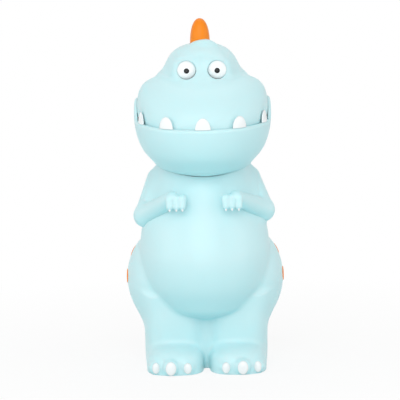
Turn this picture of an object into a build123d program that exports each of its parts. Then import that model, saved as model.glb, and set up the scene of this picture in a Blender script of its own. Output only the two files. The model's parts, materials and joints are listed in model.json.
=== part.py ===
from build123d import *
import math
import os

# Bubble machine in the shape of a standing dinosaur, in millimetres.
# +Z is up and the dinosaur looks along -Y.  The origin is on the floor, under the middle of the machine.
# The lower jaw is a bowl that holds the soap tray.  The upper head is a lid that swings up on two pivots
# at the ears.  Inside the head one motor turns a blower and, through four gear stages, a wheel of soap
# wands.  The batteries stand in a box between the legs, and a push button on the back works the switch.

# ---------------------------------------------------------------- driving sizes
WALL = 2.3               # moulded wall of the body and the lower jaw
HEAD_WALL = 2.2          # moulded wall of the upper head
FIT_GAP = 0.1            # between pieces that are glued or screwed face to face
PIN_CLEARANCE = 0.06     # radial, a shaft that turns in its bore
SPLIT_Y = 3.0            # parting plane between the front and rear body shells

# Head
PIVOT_Y = -2.0           # the pivot axis of the upper head, along X
PIVOT_Z = 166.0
RIM_Z = 165.0            # front lip of the lower jaw
BACK_RIM_Z = 168.0       # its lip behind the ears
JAW_BOTTOM_Z = 130.0
EAR_RADIUS = 12.5        # jaw lobe round each pivot
EAR_INNER_X = 40.2       # flat inner face of each lobe
HEAD_BACK_RADIUS = 42.0  # back of the upper head, round the pivot axis
HEAD_BACK_HALF = 38.0    # its half-width on the pivot axis
HEAD_LIP_Z = 160.5       # lower edge of the upper head, inside the jaw
PIVOT_PIN_RADIUS = 2.0
PIVOT_BOSS_RADIUS = 5.2
PIVOT_BOSS_INNER_X = 35.0
PIVOT_PIN_INNER_X = 34.0
CRANIUM_Y = -3.0
CRANIUM_Z = 189.5
CRANIUM_RADII = (27.5, 26.5, 24.5)
EYE_X = 10.0
EYE_Y = -20.2
EYE_Z = 200.6
EYE_RADIUS = 6.5
EYE_SOCKET_GAP = 0.25
PUPIL_RADIUS = 1.85
PUPIL_THICKNESS = 0.35
SNOUT_Y = -11.5          # middle of the snout's dome
SNOUT_Z = 163.0
SNOUT_HALF = 43.0
SNOUT_REACH = 47.3
SNOUT_RISE = 31.5
SNOUT_SQUARENESS = 4.5   # of the dome seen from the front, where 2 would be an ellipse
HORN_TOP_Z = 230.0
HORN_FOOT_Z = 212.0
HORN_RADII = (6.6, 4.6)  # at its foot and its tip
HORN_DEPTH = 1.25        # front to back, as a share of its width
HORN_Y = -1.0
TOOTH_HEIGHT = 7.8
TOOTH_WIDTHS = {0.0: 10.0, 33.0: 9.2, -33.0: 9.2, 67.0: 8.6, -67.0: 8.6}  # by angle round the rim
TOOTH_GAP = 0.5          # between a tooth and its notch in the upper head

# Neck
NECK_Y = 7.0
NECK_RADIUS = 15.0       # spigot under the jaw
NECK_BORE = 12.4
NECK_LENGTH = 13.0
NECK_RING_THICKNESS = 3.0
NECK_RING_WIDTH = 3.6

# Body
BODY_TOP_Z = 140.0
THIGH = (26.0, 4.0, 57.0, 25.6, 30.0, 33.0)
LEG_X = 20.4
FOOT = (21.4, -22.5, 1.5, 18.4, 26.5, 16.4)
TOES = [(12.6, -41.6, 4.7), (23.6, -44.4, 5.5), (33.6, -40.0, 4.7)]   # x, y and radius
TOE_LENGTH = 9.0
TAIL_TIP_Y = 62.0
SOLE_THICKNESS = 2.6

# Arms: shoulder, elbow and wrist of the arm on the +X side
SHOULDER = (25.8, 2.0, 123.5)
ELBOW = (38.6, -13.0, 101.5)
WRIST = (21.0, -41.5, 116.0)
ARM_RADII = (11.2, 7.4, 6.0)
LOWER_ELBOW_DROP = 3.0   # the arm on the -X side is held a little lower
FINGER_X = (22.6, 18.2, 14.2)
FINGER_RADIUS = 2.9
FINGER_LENGTH = 7.5
CLAW_RADIUS = 1.25

# Decoration
SPOTS = [(12.0, 73.0, 4.6), (3.5, 58.0, 4.9), (21.0, 57.0, 4.0)]      # y, z and radius on each flank
SPOT_RISE = 1.2
BACK_SPIKES = [(85.0, 9.5), (72.0, 10.0), (59.0, 9.0)]                # z and height
TAIL_SPIKES = [(38.0, 9.0), (47.5, 7.5), (55.5, 6.0)]                 # y and height
SPIKE_HALF_WIDTH = 4.4

# Drive in the head
MOTOR_Y = 11.0
MOTOR_Z = 163.0
MOTOR_RADIUS = 7.75
MOTOR_HALF_FLAT = 6.0
MOTOR_X = (13.1, 28.4)
MOTOR_CAP = (29.4, 6.6)  # outer end and radius
SHAFT_RADIUS = 1.0
IMPELLER_RADIUS = 13.0
IMPELLER_X = (-9.8, 10.0)
BLADE_COUNT = 18
BLADE_DEPTH = 3.6
SCROLL_Y = 11.5          # the blower's chamber stands a little off the impeller's axis
SCROLL_Z = 162.0
SCROLL_RADIUS = 16.5
SCROLL_HALF = 11.4
HOUSING_WALL = 1.6
OUTLET_BOTTOM_Z = 165.2
OUTLET_Y = -5.4
INTAKE_RADII = (3.6, 9.4)
BLOWER_LUGS = [(27.5, 150.5), (27.0, 174.5)]   # y and z
MODULE = 0.5
PINION_TEETH = 10
GEAR_TEETH = 30
MESH_EXTRA = 0.06        # centres set this much further apart, for backlash
TOOTH_THINNING = 0.03
ROOT_CLEARANCE = 0.12
PINION_ADDENDUM = 0.45
GEAR_ADDENDUM = 0.36
TRAIN_DROP = 7.0         # degrees that the line of gear centres falls towards the front
SPINDLE_RADIUS = 1.0
FRAME_X = (17.8, 19.4)   # side plates of the drive frame
FRAME_BASE_Z = (139.0, 141.0)
FRAME_Y = (3.0, 18.0)
FRAME_SCREW_SITES = [(15.4, 5.6), (15.4, 15.6)]
FIRST_LAYER_X = 19.9     # the gears lie in layers, outwards from the frame
LAYER_PITCH = 2.4
GEAR_WIDTH = 2.0
CASE_WALL = 1.4
CASE_RADIUS = 10.1       # outside, round the gears
CASE_END_RADIUS = 5.2    # outside, round the motor's pinion
AXLE_RADIUS = 1.5

# Wand wheel and soap tray
WAND_COUNT = 6
WHEEL_RADIUS = 21.3
RING_OUTER = 8.2
RING_INNER = 6.6
RING_THICKNESS = 1.6
RING_X = 8.6
HUB_RADIUS = 3.4
HUB_HALF = 17.2
TRAY_GAP = 0.5           # between the tray and the jaw
TRAY_WALL = 1.5
TRAY_TOP_Z = 150.5
TRAY_BACK_Y = -4.0

# Power
CELL_RADIUS = 7.1
CELL_LENGTH = 50.0
CELL_PITCH = 15.0
CELL_COUNT = 3
CELL_BOTTOM_Z = 5.2
BATTERY_Y = 4.0
BOX_HALF_X = 24.0
BOX_HALF_Y = 9.0
BOX_WALL = 1.5
BOX_Z = (4.5, 58.2)
BASE_HALF_X = 25.5       # opening in the sole
BASE_Y = (-12.5, 15.5)
BASE_Z = (0.5, 4.4)
BASE_FLANGE = 1.5
DOOR_HALF_X = 23.6
DOOR_Y = (-5.6, 13.6)
DOOR_Z = (0.5, 2.3)
DOOR_GAP = 0.3
TAB_HALF_X = 4.5
TAB_END_Y = -11.0
DOOR_SCREW_Y = -8.4
CELL_OPENING = (22.0, 7.4)

# Button and switch on the back
BUTTON_Z = 106.0
BUTTON_RADIUS = 8.0
BUTTON_OUTER_Y = 36.4
BUTTON_GAP = 0.35
BEZEL_RADIUS = 11.0
BEZEL_Y = (28.0, 33.8)
BUTTON_STOP_Y = 29.6
FLANGE_Y = (27.9, 29.2)
STEM_END_Y = 22.9
SWITCH_FACE_Y = 20.6
BOARD_Y = (13.0, 14.6)
BOARD_HALF_X = 15.0
BOARD_Z = (94.5, 115.0)

# Screws
SCREW_SITES = [(21.0, 100.0), (33.0, 66.0), (31.0, 22.0)]             # x and z, on both sides
SCREW_RADIUS = 1.3
SCREW_HEAD_RADIUS = 2.8
SCREW_BOSS_RADIUS = 3.8
SCREW_SEAT = 3.0
SMALL_SCREW_RADIUS = 0.9
SMALL_HEAD_RADIUS = 1.9


# ---------------------------------------------------------------- helpers
def ellipsoid(x, y, z, rx, ry, rz):
    """A solid ellipsoid with its centre at x, y, z."""
    return Pos(x, y, z) * scale(Sphere(1.0), by=(rx, ry, rz))


def grown(form, grow):
    """An ellipsoid's centre and radii, with the radii made larger."""
    return (*form[:3], *[radius + grow for radius in form[3:]])


def oval_loft(rows, grow=0.0, x=0.0):
    """Lofts level ovals; a row is (height, half-width, front y, back y).

    grow moves the surface out, or in where it is negative, square to the wall's slope.
    """
    last = len(rows) - 1
    faces = []
    for index, (height, half, front, back) in enumerate(rows):
        below, above = rows[max(index - 1, 0)], rows[min(index + 1, last)]
        widening = ((above[1] - below[1]) + (above[3] - above[2] - below[3] + below[2]) / 2) / 2
        slope = math.atan2(widening, above[0] - below[0])
        down = {0: 1.0, last: -1.0}.get(index, math.sin(slope))
        out = grow * math.cos(slope)
        faces.append(Pos(x, (front + back) / 2, height - grow * down) * Ellipse(half + out, (back - front) / 2 + out))
    return loft(faces)


def x_rod(x0, x1, y, z, radius):
    """A round rod along X."""
    return Pos((x0 + x1) / 2, y, z) * Rot(0, 90, 0) * Cylinder(radius, abs(x1 - x0))


def y_rod(x, y0, y1, z, radius):
    """A round rod along Y."""
    return Pos(x, (y0 + y1) / 2, z) * Rot(90, 0, 0) * Cylinder(radius, abs(y1 - y0))


def z_rod(x, y, z0, z1, radius):
    """A round rod along Z."""
    return Pos(x, y, (z0 + z1) / 2) * Cylinder(radius, abs(z1 - z0))


def block(x0, x1, y0, y1, z0, z1):
    """A block between two corners."""
    return Pos((x0 + x1) / 2, (y0 + y1) / 2, (z0 + z1) / 2) * Box(abs(x1 - x0), abs(y1 - y0), abs(z1 - z0))


def capsule(start, radius0, end, radius1):
    """A tapered rod with round ends, turned about the line from start to end."""
    a, b = Vector(*start), Vector(*end)
    length = (b - a).length
    lean = math.asin((radius0 - radius1) / length)
    tangent0 = (radius0 * math.cos(lean), radius0 * math.sin(lean))
    tangent1 = (radius1 * math.cos(lean), length + radius1 * math.sin(lean))
    half = (lean - math.pi / 2) / 2
    middle0 = (radius0 * math.cos(half), radius0 * math.sin(half))
    half = (lean + math.pi / 2) / 2
    middle1 = (radius1 * math.cos(half), length + radius1 * math.sin(half))
    outline = [
        ThreePointArc((0, -radius0), middle0, tangent0),
        Line(tangent0, tangent1),
        ThreePointArc(tangent1, middle1, (0, length + radius1)),
        Line((0, length + radius1), (0, -radius0)),
    ]
    turned = revolve(make_face(outline), Axis.Y, 360)
    return Plane(origin=a, z_dir=b - a) * Rot(90, 0, 0) * turned


def x_prism(face_yz, x0, x1):
    """A flat shape drawn with Y across and Z up, pushed along X from x0 to x1."""
    drawn = Plane(origin=(min(x0, x1), 0, 0), x_dir=(0, 1, 0), z_dir=(1, 0, 0)) * face_yz
    return extrude(drawn, abs(x1 - x0))


def fuse_all(shapes):
    """Joins shapes in one step."""
    return shapes[0] + list(shapes[1:])


def mirrored(shape):
    return mirror(shape, about=Plane.YZ)


def both_sides(shape):
    return shape + mirrored(shape)


def on_both(sites):
    """Each (x, z) site and its mirror."""
    return [(side * x, z) for x, z in sites for side in (1, -1)]


NODES = {}


def node(name, *shapes):
    """Keeps one named piece, or a group of like pieces, for export."""
    solids = [solid for shape in shapes for solid in shape.solids()]
    NODES[name] = solids[0] if len(solids) == 1 else Compound(label=name, children=solids)


# ---------------------------------------------------------------- outer forms
JAW_ROWS = [
    (JAW_BOTTOM_Z, 17.0, -33.0, 22.0),
    (JAW_BOTTOM_Z + 2.0, 26.5, -42.0, 29.5),
    (JAW_BOTTOM_Z + 6.5, 34.2, -50.0, 35.0),
    (JAW_BOTTOM_Z + 13.0, 39.6, -56.0, 39.6),
    (JAW_BOTTOM_Z + 21.0, 43.1, -59.8, 42.6),
    (JAW_BOTTOM_Z + 31.0, 44.8, -61.6, 44.0),
    (JAW_BOTTOM_Z + 41.0, 45.0, -62.0, 44.0),
    (JAW_BOTTOM_Z + 52.0, 44.4, -61.5, 43.0),
]


def snout_row(angle):
    """A level oval of the snout's dome, round seen from the side and nearly square from the front."""
    up = math.sin(math.radians(angle))
    reach = SNOUT_REACH * math.cos(math.radians(angle))
    half = SNOUT_HALF * (1 - up**SNOUT_SQUARENESS) ** (1 / SNOUT_SQUARENESS)
    return (SNOUT_Z + SNOUT_RISE * up, half, SNOUT_Y - reach, SNOUT_Y + reach)


SNOUT_ROWS = [(HEAD_LIP_Z - 4.0, 41.3, -58.6, 35.5), (RIM_Z, 41.5, -58.8, 35.8)]
SNOUT_ROWS += [snout_row(angle) for angle in (20, 34, 46, 57, 67, 76)]
TORSO_ROWS = [                # chest and belly, egg-shaped
    (34.0, 12.0, -26.0, 20.0),
    (37.0, 22.0, -34.5, 26.0),
    (43.0, 30.5, -41.5, 31.0),
    (52.0, 37.0, -47.5, 35.0),
    (64.0, 41.2, -51.5, 36.5),
    (78.0, 42.6, -52.0, 36.0),
    (90.0, 41.6, -49.0, 35.0),
    (102.0, 39.0, -44.0, 33.5),
    (114.0, 35.4, -38.5, 31.0),
    (124.0, 32.0, -34.5, 28.5),
    (132.0, 29.4, -31.5, 26.8),
    (BODY_TOP_Z, 27.0, -29.0, 25.0),
]
LEG_ROWS = [
    (0.0, 18.2, -26.0, 21.0),
    (3.0, 18.8, -27.0, 22.5),
    (14.0, 19.0, -27.5, 25.0),
    (30.0, 19.4, -28.0, 27.0),
    (48.0, 20.6, -27.5, 29.0),
]
BASE_ROWS = [                # between the legs, round the battery box
    (0.0, 30.0, -19.0, 30.0),
    (6.0, 31.0, -21.0, 33.0),
    (30.0, 33.0, -24.0, 35.0),
    (56.0, 33.0, -25.0, 33.0),
]
TAIL_ROWS = [                # y, centre height, half-width, half-height
    (16.0, 36.0, 27.0, 33.0),
    (32.0, 27.0, 19.5, 25.0),
    (45.0, 17.5, 12.2, 16.0),
    (55.0, 11.8, 7.4, 10.0),
    (TAIL_TIP_Y - 1.4, 9.6, 3.6, 5.0),
    (TAIL_TIP_Y, 9.4, 1.4, 2.2),
]


def head_barrel(grow=0.0):
    """The back of the upper head, turned about the pivot axis."""
    half, radius = HEAD_BACK_HALF + grow, HEAD_BACK_RADIUS + grow
    outline = [
        EllipticalCenterArc((0, 0), half, radius, start_angle=0, arc_size=180),
        Line((-half, 0), (half, 0)),
    ]
    return Pos(0, PIVOT_Y, PIVOT_Z) * revolve(make_face(outline), Axis.X, 360)


def cranium(grow=0.0):
    return ellipsoid(*grown((0, CRANIUM_Y, CRANIUM_Z, *CRANIUM_RADII), grow))


def upper_head_form(grow=0.0):
    return oval_loft(SNOUT_ROWS, grow) + head_barrel(grow) + cranium(grow)


def jaw_form(grow=0.0):
    return oval_loft(JAW_ROWS, grow)


def tail_form(grow=0.0, rows=TAIL_ROWS):
    faces = []
    for y, height, half, rise in rows:
        plane = Plane(origin=(0, y, height), x_dir=(1, 0, 0), z_dir=(0, 1, 0))
        faces.append(plane * Ellipse(half + grow, rise + grow))
    return loft(faces)


def trunk_form(grow=0.0):
    """Torso and thighs."""
    return oval_loft(TORSO_ROWS, grow) + both_sides(ellipsoid(*grown(THIGH, grow)))


def above_floor(shape, height=0.0):
    return shape - block(-90, 90, -90, 90, height - 60, height)


def toe(x, y, radius):
    return capsule((x, y + TOE_LENGTH, radius + 1.0), radius, (x, y, radius), radius - 0.3)


def body_form():
    """The whole outside of the body, without arms."""
    foot = ellipsoid(*FOOT) + fuse_all([toe(*site) for site in TOES])
    leg = oval_loft(LEG_ROWS, x=LEG_X) + foot
    whole = trunk_form() + oval_loft(BASE_ROWS) + tail_form() + both_sides(leg)
    return above_floor(whole)


def body_cavity():
    """The hollow of the body, one wall inside it."""
    leg = oval_loft(LEG_ROWS, -WALL, x=LEG_X)
    inside = fuse_all([
        trunk_form(-WALL),
        oval_loft(BASE_ROWS, -WALL),
        tail_form(-WALL, TAIL_ROWS[:3]),
        both_sides(leg),
    ])
    inside = above_floor(inside, SOLE_THICKNESS)
    return inside - jaw_form(FIT_GAP + WALL)


# ---------------------------------------------------------------- upper head
def make_upper_head():
    head = upper_head_form() - upper_head_form(-HEAD_WALL)
    head = head - block(-60, 60, -90, 90, 0, HEAD_LIP_Z)
    boss = x_rod(PIVOT_BOSS_INNER_X, EAR_INNER_X - FIT_GAP * 4, PIVOT_Y, PIVOT_Z, PIVOT_BOSS_RADIUS)
    bore = x_rod(PIVOT_BOSS_INNER_X - 5, 50, PIVOT_Y, PIVOT_Z, PIVOT_PIN_RADIUS + PIN_CLEARANCE)
    ear_room = x_rod(EAR_INNER_X - FIT_GAP * 4, 60, PIVOT_Y, PIVOT_Z, EAR_RADIUS + 1.2)
    socket = y_rod(EYE_X, EYE_Y - 12, EYE_Y + 2.5, EYE_Z, EYE_RADIUS + EYE_SOCKET_GAP)
    head = head + both_sides(boss)
    head = head - both_sides(bore) - both_sides(ear_room) - both_sides(socket)
    seat = y_rod(EYE_X, EYE_Y + 2.6, EYE_Y + 4.6, EYE_Z, EYE_RADIUS + EYE_SOCKET_GAP + 1.5)
    wall = y_rod(EYE_X, EYE_Y - 2.0, EYE_Y + 4.6, EYE_Z, EYE_RADIUS + EYE_SOCKET_GAP + 1.5)
    wall = wall - y_rod(EYE_X, EYE_Y - 3.0, EYE_Y + 2.6, EYE_Z, EYE_RADIUS + EYE_SOCKET_GAP)
    cup = (seat + wall) & cranium(-HEAD_WALL / 2)
    head = head + both_sides(cup)
    pivot = Pos(0, PIVOT_Y, PIVOT_Z)
    notches = []
    for angle, width in TOOTH_WIDTHS.items():
        for swing in (0, 7, 14):
            notches.append(pivot * Rot(swing, 0, 0) * pivot.inverse() * tooth(angle, width, TOOTH_GAP))
    head = head - notches
    node("upper_head", head)


def make_eyes():
    behind = block(0, 30, EYE_Y + 2.5, 40, 150, 250)
    ball = Pos(EYE_X, EYE_Y, EYE_Z) * Sphere(EYE_RADIUS) - behind
    shell = Pos(EYE_X, EYE_Y, EYE_Z) * Sphere(EYE_RADIUS + PUPIL_THICKNESS)
    pupil = shell & y_rod(EYE_X, EYE_Y - 12, EYE_Y, EYE_Z, PUPIL_RADIUS)
    pupil = pupil - Pos(EYE_X, EYE_Y, EYE_Z) * Sphere(EYE_RADIUS)
    node("eye_right", ball)
    node("eye_left", mirrored(ball))
    node("pupil_right", pupil)
    node("pupil_left", mirrored(pupil))


def make_head_spikes():
    foot, tip = HORN_RADII
    horn = scale(capsule((0, 0, HORN_FOOT_Z), foot, (0, 0, HORN_TOP_Z - tip), tip), by=(1, HORN_DEPTH, 1))
    node("horn", Pos(0, HORN_Y, 0) * horn - cranium(FIT_GAP))
    lean = Pos(0, PIVOT_Y, PIVOT_Z) * Rot(-38, 0, 0)
    spike = lean * ellipsoid(0, 0, HEAD_BACK_RADIUS + 2.0, SPIKE_HALF_WIDTH, 6.5, 9.5)
    node("crest_spike", spike - head_barrel(FIT_GAP) - cranium(FIT_GAP))


# ---------------------------------------------------------------- lower jaw
def rim_cutter():
    """Everything over the lip: level in front, up over each ear, and level behind it."""
    ear_front, ear_back = PIVOT_Y - EAR_RADIUS, PIVOT_Y + EAR_RADIUS
    top = PIVOT_Z + EAR_RADIUS
    outline = [
        Line((-90, 220), (-90, RIM_Z)),
        Line((-90, RIM_Z), (ear_front - 3.0, RIM_Z)),
        ThreePointArc((ear_front - 3.0, RIM_Z), (ear_front - 0.9, RIM_Z + 0.9), (ear_front, RIM_Z + 3.0)),
        ThreePointArc((ear_front, RIM_Z + 3.0), (PIVOT_Y, top), (ear_back, BACK_RIM_Z + 2.5)),
        ThreePointArc(
            (ear_back, BACK_RIM_Z + 2.5), (ear_back + 0.8, BACK_RIM_Z + 0.8), (ear_back + 2.5, BACK_RIM_Z)
        ),
        Line((ear_back + 2.5, BACK_RIM_Z), (90, BACK_RIM_Z)),
        Line((90, BACK_RIM_Z), (90, 220)),
        Line((90, 220), (-90, 220)),
    ]
    return x_prism(make_face(outline), -60, 60)


def make_lower_jaw():
    jaw = jaw_form() - jaw_form(-WALL)
    jaw = jaw - x_rod(0, EAR_INNER_X, PIVOT_Y, PIVOT_Z, EAR_RADIUS + 1.5)
    jaw = jaw - x_rod(-EAR_INNER_X, 0, PIVOT_Y, PIVOT_Z, EAR_RADIUS + 1.5)
    jaw = jaw - rim_cutter()
    pin_hole = x_rod(30, 60, PIVOT_Y, PIVOT_Z, PIVOT_PIN_RADIUS)
    jaw = jaw - both_sides(pin_hole)
    spigot = z_rod(0, NECK_Y, JAW_BOTTOM_Z - NECK_LENGTH, JAW_BOTTOM_Z + 1, NECK_RADIUS)
    jaw = jaw + spigot - z_rod(0, NECK_Y, 100, JAW_BOTTOM_Z + 5, NECK_BORE)
    for step in range(5):
        x = (step - 2) * 6.0
        vent = block(x - 1.2, x + 1.2, 26.5, 60, JAW_BOTTOM_Z + 6, JAW_BOTTOM_Z + 16)
        jaw = jaw - vent
    bosses, pilots = [], []
    for x, y in FRAME_SCREW_SITES:
        for side in (-1, 1):
            bosses.append(z_rod(side * x, y, JAW_BOTTOM_Z + 1, FRAME_BASE_Z[0] - FIT_GAP, 2.8))
            pilots.append(z_rod(side * x, y, FRAME_BASE_Z[0] - 6, FRAME_BASE_Z[0], SMALL_SCREW_RADIUS))
    node("lower_jaw", jaw + bosses - pilots)
    pin = x_rod(PIVOT_PIN_INNER_X, EAR_INNER_X + 3.4, PIVOT_Y, PIVOT_Z, PIVOT_PIN_RADIUS)
    head = x_rod(PIVOT_PIN_INNER_X - 1.2, PIVOT_PIN_INNER_X, PIVOT_Y, PIVOT_Z, PIVOT_PIN_RADIUS + 1.4)
    node("pivot_pins", both_sides(pin + head))


def tooth(angle, width, grow=0.0):
    """A rounded cone standing on the jaw's lip, at an angle round it from the front."""
    _, half, front, back = JAW_ROWS[-3]
    half, reach, middle = half - WALL / 2, (back - front - WALL) / 2, (front + back) / 2
    turn = math.radians(angle)
    x, y = half * math.sin(turn), -reach * math.cos(turn)
    normal = math.degrees(math.atan2(x / half**2, -y / reach**2))
    form = scale(Sphere(1.0), by=(width / 2 + grow, WALL / 2 - 0.05 + grow, TOOTH_HEIGHT + grow))
    return Pos(x, y + middle, RIM_Z) * Rot(0, 0, normal) * form


def make_teeth():
    under = block(-90, 90, -90, 90, 100, RIM_Z + 0.02)
    node("jaw_teeth", *[tooth(angle, width) - under for angle, width in TOOTH_WIDTHS.items()])


# ---------------------------------------------------------------- body
def finger_tip(x):
    return (x, WRIST[1] - 3.4, WRIST[2] - FINGER_LENGTH)


def arm_form(drop=0.0):
    elbow = (ELBOW[0], ELBOW[1], ELBOW[2] - drop)
    arm = capsule(SHOULDER, ARM_RADII[0], elbow, ARM_RADII[1])
    arm = arm + capsule(elbow, ARM_RADII[1], WRIST, ARM_RADII[2])
    for x in FINGER_X:
        knuckle = (x, WRIST[1] - 1.8, WRIST[2] + 0.6)
        arm = arm + capsule(knuckle, FINGER_RADIUS + 0.3, finger_tip(x), FINGER_RADIUS - 0.2)
    return arm


def claw(x):
    tip = Vector(*finger_tip(x))
    base = tip + Vector(0, -1.4, -1.4)
    return capsule(tuple(base), CLAW_RADIUS, tuple(base + Vector(0, -0.7, -1.3)), CLAW_RADIUS - 0.5)


def screw(length, shank=SCREW_RADIUS, head=SCREW_HEAD_RADIUS, thickness=1.6):
    """A pan-head screw standing on its point along +Z, its seat at the origin, with a cross recess."""
    body = z_rod(0, 0, 0, thickness, head) + z_rod(0, 0, -length, 0, shank)
    arm, half = head * 0.62, head * 0.14
    recess = block(-arm, arm, -half, half, thickness * 0.5, 9) + block(-half, half, -arm, arm, thickness * 0.5, 9)
    return body - recess


def make_arms():
    body = trunk_form(FIT_GAP)
    straight, low = arm_form(), arm_form(LOWER_ELBOW_DROP)
    tips = fuse_all([claw(x) for x in FINGER_X]) - straight
    room = [body, jaw_form(FIT_GAP * 4)]
    node("arm_right", straight - room)
    node("arm_left", mirrored(low - room))
    node("finger_claws", tips, mirrored(tips))


def make_body():
    base_hole = block(-BASE_HALF_X, BASE_HALF_X, *BASE_Y, -1, 8)
    shell = body_form() - [
        body_cavity(),
        jaw_form(FIT_GAP),
        block(-60, 60, -60, 60, JAW_BOTTOM_Z + 6.0, 200),
        z_rod(0, NECK_Y, 110, 140, NECK_RADIUS + FIT_GAP),
        base_hole,
        *nails(FIT_GAP / 2),
    ]
    half_gap = FIT_GAP / 2
    rear = shell - block(-90, 90, -90, SPLIT_Y + half_gap, -10, 200)
    front = shell - block(-90, 90, SPLIT_Y - half_gap, 90, -10, 200)
    within = trunk_form(-WALL / 2) + both_sides(oval_loft(LEG_ROWS, -WALL / 2, x=LEG_X))
    seat = SPLIT_Y + SCREW_SEAT
    rear_posts, front_posts, rear_holes, front_holes, screws = [], [], [], [], []
    for x, z in on_both(SCREW_SITES):
        rear_posts.append(y_rod(x, SPLIT_Y + half_gap, 60, z, SCREW_BOSS_RADIUS))
        front_posts.append(y_rod(x, -60, SPLIT_Y - half_gap, z, SCREW_BOSS_RADIUS))
        rear_holes += [y_rod(x, SPLIT_Y - 1, seat + 1, z, SCREW_RADIUS + 0.3)]
        rear_holes += [y_rod(x, seat, 60, z, SCREW_HEAD_RADIUS + 0.3)]
        front_holes += [y_rod(x, SPLIT_Y - 11, SPLIT_Y, z, SCREW_RADIUS)]
        screws.append(Pos(x, seat, z) * Rot(-90, 0, 0) * screw(11.0))
    for x in (3.0 - BOARD_HALF_X, BOARD_HALF_X - 3.0):
        for z in (BOARD_Z[0] + 3.0, BOARD_Z[1] - 3.0):
            rear_posts.append(y_rod(x, BOARD_Y[1], 60, z, 2.4))
    rear = rear + (fuse_all(rear_posts) & within) - rear_holes
    front = front + (fuse_all(front_posts) & within) - front_holes
    bezel = y_rod(0, *BEZEL_Y, BUTTON_Z, BEZEL_RADIUS)
    rear = rear + bezel - [
        y_rod(0, BEZEL_Y[0] - 8, 60, BUTTON_Z, BUTTON_RADIUS + BUTTON_GAP),
        y_rod(0, 20, BUTTON_STOP_Y, BUTTON_Z, BUTTON_RADIUS + 1.6),
    ]
    node("shell_screws", *screws)
    node("body_front", front)
    node("body_rear", rear)


def nail(x, y, radius, grow=0.0):
    """A toe nail, an egg half sunk in the tip of its toe."""
    radii = [radius * share + grow for share in (0.66, 0.62, 0.86)]
    return ellipsoid(x, y - radius * 0.62, radius * 0.98, *radii)


def nails(grow=0.0):
    right = [nail(*site, grow) for site in TOES]
    return right + [mirrored(shape) for shape in right]


def make_spots():
    skin = ellipsoid(*grown(THIGH, SPOT_RISE)) - ellipsoid(*grown(THIGH, FIT_GAP / 2))
    spots = [skin & x_rod(30, 80, y, z, radius) for y, z, radius in SPOTS]
    node("flank_spots_right", *spots)
    node("flank_spots_left", *[mirrored(spot) for spot in spots])


def back_y(z):
    """The y of the torso's back at a height, between its rows."""
    for lower, upper in zip(TORSO_ROWS, TORSO_ROWS[1:]):
        if lower[0] <= z <= upper[0]:
            share = (z - lower[0]) / (upper[0] - lower[0])
            return lower[3] + share * (upper[3] - lower[3])
    raise ValueError(f"no torso at height {z}")


def tail_top(y):
    """The height of the tail's ridge at a y, and its slope, between its rows."""
    for near, far in zip(TAIL_ROWS, TAIL_ROWS[1:]):
        if near[0] <= y <= far[0]:
            share = (y - near[0]) / (far[0] - near[0])
            start, end = near[1] + near[3], far[1] + far[3]
            slope = math.degrees(math.atan2(end - start, far[0] - near[0]))
            return start + share * (end - start), slope
    raise ValueError(f"no tail at {y}")


def make_back_spikes():
    skin = oval_loft(TORSO_ROWS, FIT_GAP) + tail_form(FIT_GAP)
    spikes = []
    for z, rise in BACK_SPIKES:
        spike = scale(Sphere(1.0), by=(SPIKE_HALF_WIDTH, 6.6, rise))
        spikes.append(Pos(0, back_y(z), z) * Rot(-78, 0, 0) * spike - skin)
    node("back_spikes", *spikes)
    tail = []
    for y, rise in TAIL_SPIKES:
        height, slope = tail_top(y)
        spike = scale(Sphere(1.0), by=(SPIKE_HALF_WIDTH * rise / 10, 4.2, rise))
        tail.append(Pos(0, y, height - 1) * Rot(slope * 0.8, 0, 0) * spike - skin)
    node("tail_spikes", *tail)


def make_neck_ring():
    top = JAW_BOTTOM_Z - FIT_GAP - WALL - FIT_GAP
    ring = z_rod(0, NECK_Y, top - NECK_RING_THICKNESS, top, NECK_RADIUS + NECK_RING_WIDTH)
    node("neck_ring", ring - z_rod(0, NECK_Y, 100, 140, NECK_RADIUS + FIT_GAP / 2))


# ---------------------------------------------------------------- drive in the head
CENTRE_DISTANCE = MODULE * (PINION_TEETH + GEAR_TEETH) / 2 + MESH_EXTRA
TRAIN = (-math.cos(math.radians(TRAIN_DROP)), -math.sin(math.radians(TRAIN_DROP)))


def centre(stage):
    """The y and z of a gear centre; 0 is the motor and 4 the wand wheel."""
    reach = stage * CENTRE_DISTANCE
    return MOTOR_Y + reach * TRAIN[0], MOTOR_Z + reach * TRAIN[1]


WHEEL_Y, WHEEL_Z = centre(4)


def layer(number):
    """The inner and outer x of a gear layer; layer 1 is next to the frame."""
    inner = FIRST_LAYER_X + (number - 1) * LAYER_PITCH
    return -inner, -inner - GEAR_WIDTH


def gear_outline(teeth, addendum, mate_tip, facing, gap=False):
    """A spur gear's outline; a tooth, or a gap, is centred on the direction that it is facing."""
    pitch = MODULE * teeth / 2
    base = pitch * math.cos(math.radians(20))
    root, tip = CENTRE_DISTANCE - mate_tip - ROOT_CLEARANCE, pitch + addendum

    def swing(radius):
        lean = math.acos(min(1.0, base / radius))
        return math.tan(lean) - lean

    half = math.pi / (2 * teeth) - TOOTH_THINNING / (2 * pitch) + swing(pitch)
    start = max(base, root)
    flank = [start + (tip - start) * step / 4 for step in range(5)]
    turn = math.atan2(facing[1], facing[0]) + (math.pi / teeth if gap else 0)
    points = []
    for tooth in range(teeth):
        middle = turn + 2 * math.pi * tooth / teeth
        rise = [(root, half - swing(start))] + [(radius, half - swing(radius)) for radius in flank]
        side = [(radius, middle - angle) for radius, angle in rise]
        side += [(radius, middle + angle) for radius, angle in reversed(rise)]
        points += [(radius * math.cos(angle), radius * math.sin(angle)) for radius, angle in side]
    distinct = [points[0]]
    for point in points[1:]:
        if math.dist(point, distinct[-1]) > 1e-4:
            distinct.append(point)
    return make_face(Polyline(*distinct, close=True))


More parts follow.
